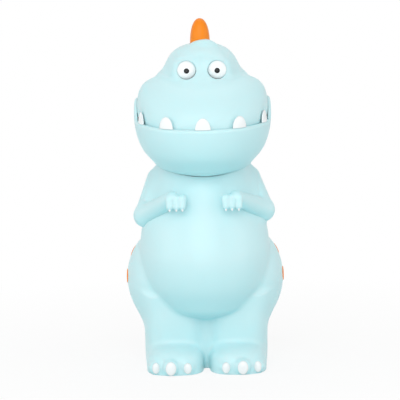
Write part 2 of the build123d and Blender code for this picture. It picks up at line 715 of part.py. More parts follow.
def spur(stage, number, teeth, bore, gap):
    """One gear at a centre, in a layer, with the tooth or gap that meets its mate in place."""
    tips = {PINION_TEETH: PINION_ADDENDUM, GEAR_TEETH: GEAR_ADDENDUM}
    mate = GEAR_TEETH if teeth == PINION_TEETH else PINION_TEETH
    mate_tip = MODULE * mate / 2 + tips[mate]
    facing = (-TRAIN[0], -TRAIN[1]) if gap else TRAIN
    y, z = centre(stage)
    outline = Pos(y, z) * (gear_outline(teeth, tips[teeth], mate_tip, facing, gap) - Circle(bore))
    return x_prism(outline, *layer(number))


def make_gears():
    bore = SPINDLE_RADIUS + PIN_CLEARANCE
    node("motor_pinion", spur(0, 1, PINION_TEETH, SHAFT_RADIUS, False))
    spindles = []
    for stage in (1, 2, 3):
        y, z = centre(stage)
        wheel = spur(stage, stage, GEAR_TEETH, bore, True)
        pinion = spur(stage, stage + 1, PINION_TEETH, bore, False)
        collar = x_rod(layer(stage)[1], layer(stage + 1)[0], y, z, 1.9) - x_rod(-60, 0, y, z, bore)
        node(f"gear_{stage}", wheel + collar + pinion)
        spindles.append(x_rod(-FRAME_X[0], layer(4)[1] - 0.4 - CASE_WALL, y, z, SPINDLE_RADIUS))
    node("gear_spindles", *spindles)
    node("wheel_gear", spur(4, 4, GEAR_TEETH, AXLE_RADIUS, True))


def case_outline(grow=0.0):
    """The outline of the gear case: round the gears, and narrower round the motor's pinion."""
    near, far = centre(1), centre(4)
    middle = ((near[0] + far[0]) / 2, (near[1] + far[1]) / 2)
    slot = SlotCenterToCenter(math.dist(near, far), 2 * (CASE_RADIUS + grow))
    slot = Pos(*middle) * Rot(0, 0, TRAIN_DROP) * slot
    return slot + Pos(MOTOR_Y, MOTOR_Z) * Circle(CASE_END_RADIUS + grow)


def make_frame():
    inner, outer = FRAME_X
    y0, y1 = FRAME_Y
    low, high = FRAME_BASE_Z
    legs = [block(side * inner, side * outer, y0, y1, low, 160) for side in (-1, 1)]
    left = x_prism(case_outline(), -outer, -inner)
    slot = SlotCenterToCenter(4 * CENTRE_DISTANCE, 18.0)
    middle = ((MOTOR_Y + WHEEL_Y) / 2, (MOTOR_Z + WHEEL_Z) / 2)
    right = x_prism(Pos(*middle) * Rot(0, 0, TRAIN_DROP) * slot, inner, outer)
    frame = fuse_all([block(-outer, outer, y0, y1, low, high), *legs, left, right])
    shaft = SHAFT_RADIUS + PIN_CLEARANCE
    holes = [x_rod(-30, 0, MOTOR_Y, MOTOR_Z, shaft), x_rod(-30, 30, WHEEL_Y, WHEEL_Z, AXLE_RADIUS + PIN_CLEARANCE)]
    holes += [x_rod(-30, 0, *centre(stage), SPINDLE_RADIUS) for stage in (1, 2, 3)]
    holes.append(motor_form(10, 30, FIT_GAP / 2))
    screws = []
    for x, y in FRAME_SCREW_SITES:
        for side in (-1, 1):
            holes.append(z_rod(side * x, y, low - 1, high + 1, SMALL_SCREW_RADIUS + 0.2))
            screws.append(Pos(side * x, y, high) * screw(7.0, SMALL_SCREW_RADIUS, SMALL_HEAD_RADIUS, 1.2))
    node("drive_frame", frame - holes)
    node("frame_screws", *screws)


def motor_form(x0, x1, grow=0.0):
    """A round can with two flats, along X."""
    can = x_rod(x0, x1, MOTOR_Y, MOTOR_Z, MOTOR_RADIUS + grow)
    half = MOTOR_HALF_FLAT + grow
    return can & block(x0, x1, MOTOR_Y - 20, MOTOR_Y + 20, MOTOR_Z - half, MOTOR_Z + half)


def make_motor():
    shaft = x_rod(-60, 60, MOTOR_Y, MOTOR_Z, SHAFT_RADIUS + PIN_CLEARANCE)
    node("motor_can", motor_form(*MOTOR_X) - shaft)
    cap = x_rod(MOTOR_X[1], MOTOR_CAP[0], MOTOR_Y, MOTOR_Z, MOTOR_CAP[1])
    cap = cap & block(0, 60, MOTOR_Y - 20, MOTOR_Y + 20, MOTOR_Z - 5.6, MOTOR_Z + 5.6)
    tags = [block(MOTOR_CAP[0], MOTOR_CAP[0] + 1.4, MOTOR_Y + dy - 1, MOTOR_Y + dy + 1, MOTOR_Z - 0.3, MOTOR_Z + 0.3)
            for dy in (-4.2, 4.2)]
    node("motor_endcap", fuse_all([cap, *tags]))
    node("motor_shaft", x_rod(layer(1)[1] - 0.3, MOTOR_X[1] - 1.5, MOTOR_Y, MOTOR_Z, SHAFT_RADIUS))


def make_blower():
    x0, x1 = IMPELLER_X
    disc = x_rod(x1 - 1.2, x1, MOTOR_Y, MOTOR_Z, IMPELLER_RADIUS)
    hub = x_rod(x1 - 9.0, x1, MOTOR_Y, MOTOR_Z, 3.0)
    rim = x_rod(x0, x0 + 1.2, MOTOR_Y, MOTOR_Z, IMPELLER_RADIUS)
    rim = rim - x_rod(x0 - 1, x0 + 2, MOTOR_Y, MOTOR_Z, IMPELLER_RADIUS - BLADE_DEPTH + 0.6)
    blades = []
    for blade in range(BLADE_COUNT):
        turn = Pos(0, MOTOR_Y, MOTOR_Z) * Rot(360 / BLADE_COUNT * blade, 0, 0)
        middle = IMPELLER_RADIUS - BLADE_DEPTH / 2 - 0.15
        blades.append(turn * Pos((x0 + x1) / 2, 0, middle) * Rot(24, 0, 0) * Box(x1 - x0 - 0.4, 0.9, BLADE_DEPTH - 0.5))
    shaft = x_rod(-60, 60, MOTOR_Y, MOTOR_Z, SHAFT_RADIUS)
    node("impeller", fuse_all([disc, hub, rim, *blades]) - shaft)

    wide = SCROLL_HALF + HOUSING_WALL
    outer = x_rod(-wide, wide, SCROLL_Y, SCROLL_Z, SCROLL_RADIUS + HOUSING_WALL)
    duct_top = SCROLL_Z + SCROLL_RADIUS
    outer_duct = block(-wide, wide, OUTLET_Y, SCROLL_Y, OUTLET_BOTTOM_Z - HOUSING_WALL, duct_top + HOUSING_WALL)
    foot = block(-wide, wide, 6.0, 16.0, FRAME_BASE_Z[1] + FIT_GAP, SCROLL_Z - SCROLL_RADIUS - 0.4)
    inner = x_rod(-SCROLL_HALF, SCROLL_HALF, SCROLL_Y, SCROLL_Z, SCROLL_RADIUS)
    inner_duct = block(-SCROLL_HALF, SCROLL_HALF, OUTLET_Y - 1, SCROLL_Y, OUTLET_BOTTOM_Z, duct_top)
    lugs = [x_rod(-wide, wide, y, z, 2.4) for y, z in BLOWER_LUGS]
    case = fuse_all([outer, outer_duct, foot, *lugs]) - [inner, inner_duct]
    intake = x_rod(-wide - 1, -SCROLL_HALF + 1, MOTOR_Y, MOTOR_Z, INTAKE_RADII[1])
    keep = [x_rod(-wide - 2, 0, MOTOR_Y, MOTOR_Z, INTAKE_RADII[0])]
    for spoke in range(3):
        turn = Pos(-SCROLL_HALF, MOTOR_Y, MOTOR_Z) * Rot(120 * spoke, 0, 0)
        keep.append(turn * Pos(0, 0, 6) * Box(9, 1.8, 12))
    case = case - (intake - keep) - x_rod(-30, 30, MOTOR_Y, MOTOR_Z, SHAFT_RADIUS + 0.5)
    holes = [x_rod(-wide - 1, wide + 1, y, z, SMALL_SCREW_RADIUS) for y, z in BLOWER_LUGS]
    case = case - holes
    node("blower_shell_left", case - block(-FIT_GAP / 2, 60, -90, 90, 100, 220))
    node("blower_shell_right", case - block(-60, FIT_GAP / 2, -90, 90, 100, 220))
    screws = [Pos(-wide, y, z) * Rot(0, -90, 0) * screw(20.0, SMALL_SCREW_RADIUS, SMALL_HEAD_RADIUS, 1.2)
              for y, z in BLOWER_LUGS]
    node("blower_screws", *screws)


def make_gear_case():
    outer = layer(4)[1] - 0.4 - CASE_WALL
    inner = layer(4)[1] - 0.4
    wall = -FRAME_X[1] - FIT_GAP
    case = x_prism(case_outline(), outer, wall) - x_prism(case_outline(-CASE_WALL), inner, wall + 1)
    holes = [x_rod(-60, 0, *centre(stage), SPINDLE_RADIUS) for stage in (1, 2, 3)]
    holes.append(x_rod(-60, 0, WHEEL_Y, WHEEL_Z, AXLE_RADIUS + PIN_CLEARANCE))
    node("gear_case", case - holes)


def make_wand_wheel():
    hub = x_rod(-HUB_HALF, HUB_HALF, 0, 0, HUB_RADIUS)
    middle = WHEEL_RADIUS - RING_OUTER
    pieces = [hub]
    for wand in range(WAND_COUNT):
        turn = Rot(360 / WAND_COUNT * wand, 0, 0)
        for side in (-1, 1):
            rim = y_rod(side * RING_X, -RING_THICKNESS / 2, RING_THICKNESS / 2, middle, RING_OUTER)
            web = block(side * (RING_X - 2.5), side * (RING_X + 2.5), -0.8, 0.8, 2.0, middle - RING_OUTER + 1.2)
            pieces += [turn * (rim - y_rod(side * RING_X, -5, 5, middle, RING_INNER)), turn * web]
        pieces.append(turn * block(-1.6, 1.6, -0.8, 0.8, middle - 1.5, middle + 1.5))
    wheel = fuse_all(pieces) - x_rod(-60, 60, 0, 0, AXLE_RADIUS)
    node("wand_wheel", Pos(0, WHEEL_Y, WHEEL_Z) * wheel)
    axle = x_rod(layer(4)[1] - 1.0, FRAME_X[1] + 1.4, WHEEL_Y, WHEEL_Z, AXLE_RADIUS)
    collar = x_rod(FRAME_X[1] + 0.3, FRAME_X[1] + 1.4, WHEEL_Y, WHEEL_Z, AXLE_RADIUS + 1.0)
    node("wheel_axle", axle + collar)


def make_tray():
    drop = Pos(0, 0, FIT_GAP - TRAY_GAP)
    outside = drop * jaw_form(-WALL - TRAY_GAP)
    inside = drop * jaw_form(-WALL - TRAY_GAP - TRAY_WALL)
    front = block(-60, 60, -90, TRAY_BACK_Y, 100, TRAY_TOP_Z)
    hollow = inside & block(-60, 60, -90, TRAY_BACK_Y - TRAY_WALL, 100, 200)
    node("solution_tray", (outside & front) - hollow)


# ---------------------------------------------------------------- power and switch
def make_power():
    y0, y1 = BATTERY_Y - BOX_HALF_Y, BATTERY_Y + BOX_HALF_Y
    box = block(-BOX_HALF_X, BOX_HALF_X, y0, y1, *BOX_Z)
    box = box - block(BOX_WALL - BOX_HALF_X, BOX_HALF_X - BOX_WALL, y0 + BOX_WALL, y1 - BOX_WALL, 0, BOX_Z[1] - BOX_WALL)
    node("battery_box", box)
    sites = [(index - (CELL_COUNT - 1) / 2) * CELL_PITCH for index in range(CELL_COUNT)]
    top = CELL_BOTTOM_Z + CELL_LENGTH
    cells = []
    for x in sites:
        cell = z_rod(x, BATTERY_Y, CELL_BOTTOM_Z, top - 1.2, CELL_RADIUS)
        cells.append(cell + z_rod(x, BATTERY_Y, top - 1.2, top, 2.7))
    node("battery_cells", *cells)
    roof = BOX_Z[1] - BOX_WALL
    plates = [block(sites[0] - 5, sites[1] + 5, BATTERY_Y - 4, BATTERY_Y + 4, roof - 0.6, roof)]
    plates.append(block(sites[2] - 5, sites[2] + 5, BATTERY_Y - 4, BATTERY_Y + 4, roof - 0.6, roof))
    nubs = [z_rod(x, BATTERY_Y, top + 0.1, roof - 0.6, 2.2) for x in sites]
    node("battery_contacts", plates[0] + nubs[:2], plates[1] + nubs[2])

    x0, x1 = -BASE_HALF_X + FIT_GAP, BASE_HALF_X - FIT_GAP
    low, high = BASE_Z
    base = block(x0, x1, BASE_Y[0] + FIT_GAP, BASE_Y[1] - FIT_GAP, low, high)
    base = base + block(
        x0 - BASE_FLANGE, x1 + BASE_FLANGE, BASE_Y[0] - BASE_FLANGE, BASE_Y[1] + 1.0, SOLE_THICKNESS + FIT_GAP, high
    )
    base = base + z_rod(0, DOOR_SCREW_Y, high, high + 5, 2.3)
    recess = door_form(DOOR_GAP, low - 1, DOOR_Z[1] + FIT_GAP)
    half_x, half_y = CELL_OPENING
    opening = block(-half_x, half_x, BATTERY_Y - half_y, BATTERY_Y + half_y, 0, 9)
    node("base_plate", base - [recess, opening, z_rod(0, DOOR_SCREW_Y, 0, 9, 1.0)])
    door = door_form(0, *DOOR_Z)
    seat = DOOR_Z[0] + 1.0
    door = door - [z_rod(0, DOOR_SCREW_Y, 0, seat, 2.2), z_rod(0, DOOR_SCREW_Y, 0, 9, 1.0)]
    door = door - [block(x - 0.6, x + 0.6, 6.0, 11.0, 0, DOOR_Z[0] + 0.5) for x in range(-16, 17, 4)]
    node("battery_door", door)
    node("door_screw", Pos(0, DOOR_SCREW_Y, seat) * Rot(180, 0, 0) * screw(5.0, 1.0, 2.0, 0.9))
    springs = []
    for x in sites:
        path = Helix(pitch=1.0, height=CELL_BOTTOM_Z - DOOR_Z[1] - 0.9, radius=3.4)
        wire = sweep(Plane(origin=path @ 0, z_dir=path % 0) * Circle(0.35), path=path)
        springs.append(Pos(x, BATTERY_Y, DOOR_Z[1] + 0.4) * wire)
    node("contact_springs", *springs)


def door_form(grow, low, high):
    """The battery door with its screw tab, grown sideways for the recess round it."""
    half = DOOR_HALF_X + grow
    plate = block(-half, half, DOOR_Y[0] - grow, DOOR_Y[1] + grow, low, high)
    return plate + block(-TAB_HALF_X - grow, TAB_HALF_X + grow, TAB_END_Y - grow, DOOR_Y[0], low, high)


def make_button():
    cap = y_rod(0, FLANGE_Y[0], BUTTON_OUTER_Y, BUTTON_Z, BUTTON_RADIUS)
    cap = fillet(cap.edges().sort_by(Axis.Y)[-1:], 1.6)
    flange = y_rod(0, *FLANGE_Y, BUTTON_Z, BUTTON_RADIUS + 1.2)
    stem = y_rod(0, STEM_END_Y, FLANGE_Y[0], BUTTON_Z, 2.0)
    node("power_button", cap + flange + stem)
    path = Helix(pitch=1.2, height=FLANGE_Y[0] - STEM_END_Y - 0.8, radius=3.3)
    wire = sweep(Plane(origin=path @ 0, z_dir=path % 0) * Circle(0.3), path=path)
    node("button_spring", Pos(0, FLANGE_Y[0] - 0.4, BUTTON_Z) * Rot(90, 0, 0) * wire)
    node("switch_block", block(-4, 4, BOARD_Y[1], SWITCH_FACE_Y, BUTTON_Z - 4, BUTTON_Z + 4))
    board = block(-BOARD_HALF_X, BOARD_HALF_X, *BOARD_Y, *BOARD_Z)
    parts = [block(-12, -6, BOARD_Y[0] - 2.4, BOARD_Y[0], 98, 103), y_rod(8, BOARD_Y[0] - 5, BOARD_Y[0], 108, 3.0)]
    node("circuit_board", fuse_all([board, *parts]))


make_upper_head()
make_eyes()
make_head_spikes()
make_lower_jaw()
make_teeth()
make_arms()
make_body()
node("toe_nails", *nails())
make_spots()
make_back_spikes()
make_neck_ring()
make_gears()
make_frame()
make_motor()
make_blower()
make_gear_case()
make_wand_wheel()
make_tray()
make_power()
make_button()

os.makedirs("parts", exist_ok=True)
for name, shape in NODES.items():
    export_step(shape, f"parts/{name}.step")
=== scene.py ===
# %% [markdown]
# # A bubble machine shaped like a standing dinosaur
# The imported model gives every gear, screw and shell of the machine in metres, each riding on its body.
# Nothing here moves or resizes those parts. Four things are added: soft outer skins for the moulded shells,
# a plastic or metal finish for every piece, a plain pale studio, and the camera.

# %% Load the frame
import json
import math

import bmesh
import bpy
import numpy as np
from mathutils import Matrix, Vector


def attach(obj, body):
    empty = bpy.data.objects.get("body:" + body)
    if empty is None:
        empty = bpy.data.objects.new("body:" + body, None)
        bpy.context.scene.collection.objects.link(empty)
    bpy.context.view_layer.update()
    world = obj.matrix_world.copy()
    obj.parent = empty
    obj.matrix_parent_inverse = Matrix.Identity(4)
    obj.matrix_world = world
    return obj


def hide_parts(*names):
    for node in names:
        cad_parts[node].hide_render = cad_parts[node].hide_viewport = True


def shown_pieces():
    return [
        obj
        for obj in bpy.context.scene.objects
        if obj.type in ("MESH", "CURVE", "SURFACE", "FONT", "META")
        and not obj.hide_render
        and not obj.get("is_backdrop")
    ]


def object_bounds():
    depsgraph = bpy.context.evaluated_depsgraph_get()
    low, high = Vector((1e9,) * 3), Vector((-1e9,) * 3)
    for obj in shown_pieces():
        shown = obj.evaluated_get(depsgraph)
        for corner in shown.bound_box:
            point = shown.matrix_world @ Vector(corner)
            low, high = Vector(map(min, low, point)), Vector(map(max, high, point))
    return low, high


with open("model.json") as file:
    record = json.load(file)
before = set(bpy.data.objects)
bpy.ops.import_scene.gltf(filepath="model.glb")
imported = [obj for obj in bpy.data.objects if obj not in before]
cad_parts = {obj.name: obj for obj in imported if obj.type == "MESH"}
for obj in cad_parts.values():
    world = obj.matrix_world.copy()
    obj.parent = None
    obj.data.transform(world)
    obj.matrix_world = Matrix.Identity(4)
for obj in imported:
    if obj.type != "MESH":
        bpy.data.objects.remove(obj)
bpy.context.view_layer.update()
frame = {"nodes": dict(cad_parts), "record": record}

MM = 0.001

# %% [markdown]
# Blender starts with a cube, a lamp and a camera of its own. A scene that is built by a script starts empty,
# so the three go away first. Colours are written as the hex codes that a paint chart or a web page uses.
# Those are sRGB values, and a shader wants linear light, so one function turns them round.

# %% Clear the starting objects and read colours
for name in ("Cube", "Light", "Camera"):
    if name in bpy.data.objects:
        bpy.data.objects.remove(bpy.data.objects[name])


def linear(hex_code):
    """A colour such as "#cdf1f5" as linear red, green, blue and alpha."""
    parts = [int(hex_code[place : place + 2], 16) / 255 for place in (1, 3, 5)]
    return [part / 12.92 if part <= 0.04045 else ((part + 0.055) / 1.055) ** 2.4 for part in parts] + [1.0]


MINT = "#cdf1f5"
print("mint in linear light:", [round(part, 3) for part in linear(MINT)[:3]])

# %% [markdown]
# A material is a small graph of nodes. One function adds a node, sets its inputs and joins its links, so each
# recipe below reads as a list of what the surface is made of. An input is named, or numbered where two share
# a name. A value that is a node's output becomes a link, and anything else is set on the socket.

# %% One function that adds a node
def add(tree, kind, settings=None, **inputs):
    """Adds a node of a kind to a tree; inputs may be values or other nodes' outputs."""
    node = tree.nodes.new(kind)
    for key, value in (settings or {}).items():
        setattr(node, key, value)
    for key, value in inputs.items():
        key = key.replace("_", " ")
        socket = node.inputs[int(key[1:])] if key[1:].isdigit() else node.inputs[key]
        if isinstance(value, bpy.types.NodeSocket):
            tree.links.new(value, socket)
        else:
            socket.default_value = value
    return node


def new_material(name):
    """A node material and its tree, which starts empty."""
    material = bpy.data.materials.new(name)
    material.use_nodes = True
    material.node_tree.nodes.clear()
    return material, material.node_tree


# %% [markdown]
# ## Forms as distance fields
# The shells are moulded in soft, blended forms: a round belly that runs into thighs, a skull that sinks into
# a broad snout. Boxes and spheres that are only stuck together keep a hard crease where they meet. A distance
# field says for any point how far it is from the surface, negative inside. Two fields blend with a rounded
# minimum, whose width is the radius of the blend in millimetres. All the fields below are in millimetres.

# %% Simple fields
def ball(points, centre, radii, power=2.0):
    """An ellipsoid, or a squarer form where the power is over 2."""
    q = np.abs((points - np.array(centre)) / np.array(radii))
    near = np.maximum((q**power).sum(axis=1) ** (1 / power), 1e-6)
    slope = np.linalg.norm((q / near[:, None]) ** (power - 1) / np.array(radii), axis=1)
    return (near - 1) / np.maximum(slope, 1e-9)


def limb(points, start, radius0, end, radius1):
    """A tapered rod with round ends."""
    a, b = np.array(start, float), np.array(end, float)
    along = np.clip((points - a) @ (b - a) / ((b - a) @ (b - a)), 0, 1)
    radius = radius0 + (radius1 - radius0) * along
    return np.linalg.norm(points - a - along[:, None] * (b - a), axis=1) - radius


def blend(first, second, width):
    """The rounded minimum of two fields: both forms together, with a fillet between them."""
    share = np.clip(0.5 + 0.5 * (second - first) / width, 0, 1)
    return second + (first - second) * share - width * share * (1 - share)


def meet(first, second, width):
    """What two forms share, with a rounded edge."""
    return -blend(-first, -second, width)


def carve(form, tool, width):
    """The form less the tool, with a rounded edge."""
    return -blend(-form, tool, width)


def any_of(fields):
    """Several forms side by side, with no fillet between them."""
    return np.minimum.reduce(list(fields))


def one_side(points):
    """Points folded over to the right-hand side, so that a form is written once for both."""
    return np.column_stack([np.abs(points[:, 0]), points[:, 1:]])


halfway = any_of([ball(np.zeros((1, 3)), (x, 0, 0), (5, 5, 5)) for x in (-6, 6)])
print("halfway between two balls of 5 mm that stand 12 mm apart:", round(float(halfway[0]), 3), "mm to go")


# %% [markdown]
# The trunk, the jaw and the legs are lofts: level ovals at a few heights, with a smooth curve from one to the
# next. A natural cubic spline gives the oval at any height, and the steepness of the wall there scales the
# level distance to the true one.

# %% A lofted oval as a field
def spline(knots, values, at):
    """A natural cubic spline through the knots."""
    gap = np.diff(knots)
    system = np.eye(len(knots))
    right = np.zeros(len(knots))
    for i in range(1, len(knots) - 1):
        system[i, i - 1 : i + 2] = gap[i - 1], 2 * (gap[i - 1] + gap[i]), gap[i]
        right[i] = 6 * ((values[i + 1] - values[i]) / gap[i] - (values[i] - values[i - 1]) / gap[i - 1])
    bend = np.linalg.solve(system, right)
    i = np.clip(np.searchsorted(knots, at) - 1, 0, len(gap) - 1)
    t, h = at - knots[i], gap[i]
    rise = (values[i + 1] - values[i]) / h - h * (2 * bend[i] + bend[i + 1]) / 6
    return values[i] + rise * t + bend[i] / 2 * t**2 + (bend[i + 1] - bend[i]) / (6 * h) * t**3


def ovals(points, sizes, bottom, top, centre_x=0.0, lying=False, power=2.0):
    """Ovals stacked along Z, or along Y if lying; sizes gives the half-width and both ends at a level."""
    level, across = (points[:, 1], points[:, 2]) if lying else (points[:, 2], points[:, 1])
    at, nudge = np.clip(level, bottom, top), 0.01
    half, low, high = sizes(at)
    half_slope, low_slope, high_slope = (np.array(sizes(at + nudge)) - np.array(sizes(at - nudge))) / (2 * nudge)
    middle, reach = (low + high) / 2, (high - low) / 2
    u, v = np.abs(points[:, 0] - centre_x) / half, (across - middle) / reach
    size = np.maximum((u**power + np.abs(v) ** power) ** (1 / power), 1e-6)
    slope_u, slope_v = (u / size) ** (power - 1) / half, (np.abs(v) / size) ** (power - 1) / reach
    flat = (size - 1) / np.maximum(np.hypot(slope_u, slope_v), 1e-9)
    weight = (u / size) ** power
    lean = weight * half_slope + (1 - weight) * np.where(v < 0, -low_slope, high_slope)
    return np.maximum(flat / np.sqrt(1 + lean**2), np.maximum(bottom - level, level - top))


def lofted(points, rows, centre_x=0.0, lying=False, power=2.0):
    """A loft through ovals; a row is (level, half-width, low end, high end)."""
    rows = np.array(rows, float)
    return ovals(
        points,
        lambda level: [spline(rows[:, 0], rows[:, column], level) for column in (1, 2, 3)],
        rows[0, 0], rows[-1, 0], centre_x, lying, power,
    )


line = spline(np.array([0, 1, 2]), np.array([0, 2, 4]), np.array([1.5]))
print("a spline through 0, 2 and 4, three quarters of the way:", float(line[0]))

# %% [markdown]
# ## From a field to a mesh
# Surface nets are the simplest way to skin a field with even quads: a point goes in each small cell that the
# surface passes through, and a face round each grid edge that it crosses. Newton steps then pull every point
# exactly onto the surface, so the skin is as smooth as the formulas.

# %% Surface nets
def gradient(field, points, step=0.05):
    """The field's slope along X, Y and Z."""
    offsets = np.eye(3) * step
    return np.stack([(field(points + o) - field(points - o)) / (2 * step) for o in offsets], axis=1)


def both_ends(values, axis):
    """The values at the two ends of every grid edge along an axis."""
    first, second = [slice(None)] * 3, [slice(None)] * 3
    first[axis], second[axis] = slice(0, -1), slice(1, None)
    return values[tuple(first)], values[tuple(second)]


NEWTON_STEPS, LEAST_SLOPE = 4, 0.2


def skin(field, low, high, step):
    """Vertices in millimetres and quads of the surface where a field is zero."""
    axes = [np.arange(a, b + step, step) for a, b in zip(low, high)]
    shape = tuple(len(axis) for axis in axes)
    grid = np.stack(np.meshgrid(*axes, indexing="ij"), axis=-1).reshape(-1, 3)
    value = field(grid).reshape(shape)
    inside = value < 0
    cells = tuple(n - 1 for n in shape)
    total, count = np.zeros(cells + (3,)), np.zeros(cells)
    for axis in range(3):
        others = [other for other in range(3) if other != axis]
        v0, v1 = both_ends(value, axis)
        crosses = (v0 < 0) != (v1 < 0)
        place = np.argwhere(crosses)
        share = v0[crosses] / (v0[crosses] - v1[crosses])
        at = place.astype(float)
        at[:, axis] += share
        for shift in ((0, 0), (0, -1), (-1, 0), (-1, -1)):
            cell = place.copy()
            cell[:, others] += shift
            fits = np.all((cell >= 0) & (cell < np.array(cells)), axis=1)
            index = tuple(cell[fits].T)
            np.add.at(total, index, at[fits])
            np.add.at(count, index, 1)
    used = count > 0
    number = -np.ones(cells, int)
    number[used] = np.arange(used.sum())
    points = total[used] / count[used][:, None] * step + np.array(low, float)
    quads = []
    for axis in range(3):
        a, b = (axis + 1) % 3, (axis + 2) % 3
        v0, v1 = both_ends(inside, axis)
        place = np.argwhere(v0 != v1)
        within = (place[:, [a, b]] > 0).all(axis=1) & (place[:, a] < cells[a]) & (place[:, b] < cells[b])
        place = place[within]
        ring = []
        for shift in ((-1, -1), (0, -1), (0, 0), (-1, 0)):
            cell = place.copy()
            cell[:, [a, b]] += shift
            ring.append(number[tuple(cell.T)])
        ring = np.stack(ring, axis=1)
        outward = v0[tuple(place.T)]
        ring[~outward] = ring[~outward][:, ::-1]
        quads.append(ring)
    for _ in range(NEWTON_STEPS):
        slope = gradient(field, points)
        size = np.maximum(np.linalg.norm(slope, axis=1), LEAST_SLOPE)
        move = np.clip(field(points) / size, -step, step)
        points = points - slope / size[:, None] * move[:, None]
    return points, np.concatenate(quads)


finish_of = {}


def piece(name, points, faces, body, replaced, slot):
    """A smooth-shaded object from points in millimetres, riding on a body in place of some CAD pieces."""
    mesh = bpy.data.meshes.new(name)
    mesh.from_pydata((np.asarray(points) * MM).tolist(), [], np.asarray(faces).tolist())
    mesh.update()
    mesh.polygons.foreach_set("use_smooth", [True] * len(mesh.polygons))
    made = bpy.data.objects.new(name, mesh)
    bpy.context.scene.collection.objects.link(made)
    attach(made, body)
    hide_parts(*replaced)
    finish_of[name] = slot
    return made


_, test_quads = skin(lambda points: ball(points, (0, 0, 0), (5, 5, 5)), (-6, -6, -6), (6, 6, 6), 1.0)
print("a ball of 5 mm on a 1 mm grid has", len(test_quads), "quads")


# %% [markdown]
# ## The body's skin
# The body is moulded in soft, full forms: a round belly hangs over two column legs, the hips swell at the
# sides, and a tail props it up behind. Each form starts from the sizes of the CAD shells under it. The belly
# keeps a narrow crease over the legs, so that blend is small. A row of a loft is a level, a half-width and both
# ends of the oval. The tail lies down, so its levels run along Y and its ovals end below and above.

# %% Body field
TORSO = [
    (34, 12, -26, 20), (37, 22, -34.5, 26), (43, 30.5, -41.5, 31), (52, 37, -47.5, 35),
    (64, 41.2, -51.5, 36.5), (78, 42.6, -52, 36), (90, 41.6, -49, 35), (102, 39, -44, 33.5),
    (114, 35.4, -38.5, 31), (124, 32, -34.5, 28.5), (132, 29.4, -31.5, 26.8), (140, 27, -29, 25),
]
LEG = [
    (-3, 16.8, -24.6, 20.4), (0, 18.1, -25.6, 21), (4, 19.3, -27, 22.5), (14, 19.9, -27.5, 25),
    (30, 20.4, -28, 27), (48, 21.2, -27.5, 29),
]
BETWEEN_LEGS = [
    (-3, 29.6, -22, 29), (0, 30, -22.6, 30), (6, 31, -22.8, 33), (14, 32, -22.4, 34), (30, 33, -22.4, 35),
    (56, 33, -24.5, 33),
]
TAIL = [
    (16, 27, 3, 69), (32, 19.5, 2, 52), (45, 12.2, 1.5, 33.5), (55, 7.4, 1.8, 21.8), (60.6, 3.6, 4.6, 14.6),
    (62, 1.4, 7.2, 11.6),
]
LEG_X = 20.6
HIP = ((26, 4, 57), (25.6, 30, 33))
FOOT = ((20.6, -22.5, 3.2), (18.8, 23.0, 14.8))
LEG_SQUARENESS, FOOT_SQUARENESS = 3.2, 2.7
TOES = [(12.6, -41.6, 4.7), (23.6, -44.4, 5.5), (33.6, -40.0, 4.7)]  # x, y and radius
SHOULDER, ELBOW, WRIST = (27, 2, 120.8), (38.6, -13, 104.0), (21, -41.5, 117.4)


def feet(points):
    """Both feet and their toes, on folded points."""
    form = ball(points, *FOOT, power=FOOT_SQUARENESS)
    for x, y, radius in TOES:
        toe = limb(points, (x, y + 9, radius + 1), radius, (x, y, radius), radius - 0.1)
        form = blend(form, toe, 1.2)
    return form


def body(points):
    """The trunk, legs, feet and tail, with a swelling under each arm."""
    folded = one_side(points)
    hips = blend(ball(folded, *HIP), lofted(folded, LEG, LEG_X, power=LEG_SQUARENESS), 7)
    legs = blend(hips, feet(folded), 3.2)
    trunk = blend(lofted(points, TORSO), lofted(points, TAIL, lying=True), 9)
    trunk = blend(trunk, lofted(points, BETWEEN_LEGS), 4)
    under_arm = limb(folded, SHOULDER, 10.4, ELBOW, 5.6)
    return blend(blend(trunk, legs, 2.4), under_arm, 8)


print("the belly is", 2 * max(row[1] for row in TORSO), "mm wide")

# %% [markdown]
# The arms are short and bent, with the paws held against the chest. Each is a tapered rod for the upper arm
# and one for the forearm, with three fingers that hang down from the wrist. The left elbow is held a little
# lower than the right one.

# %% Arm field
FINGERS, KNUCKLE_RADIUS, TIP_RADIUS = (22.6, 18.2, 14.2), 2.7, 2.2
SHOULDER_RADIUS, ELBOW_RADIUS, WRIST_RADIUS = 11.2, 7.4, 4.7


def finger_tip(x):
    """Where the finger at x ends."""
    return (x, WRIST[1] - 3.8, WRIST[2] - 5.2)


def arm(points, drop):
    """The right arm, with its elbow lowered by a drop; the left one is its mirror image."""
    elbow = (ELBOW[0], ELBOW[1], ELBOW[2] - drop)
    form = limb(points, SHOULDER, SHOULDER_RADIUS, elbow, ELBOW_RADIUS)
    form = blend(form, limb(points, elbow, ELBOW_RADIUS, WRIST, WRIST_RADIUS), 2.5)
    for x in FINGERS:
        knuckle = (x, WRIST[1] - 2.4, WRIST[2] + 0.2)
        form = blend(form, limb(points, knuckle, KNUCKLE_RADIUS, finger_tip(x), TIP_RADIUS), 0.7)
    return form


print("each forearm is", round(math.dist(ELBOW, WRIST)), "mm long")

# %% [markdown]
# ## The head
# The upper head is a broad snout, a round back that turns about the pivots, and a skull with a low mound for
# each eye. The skull sinks into the snout with a narrow fillet. Five dents leave room for the teeth, which
# stand on the jaw: an angle round the lip gives each tooth's place, and each has its width.

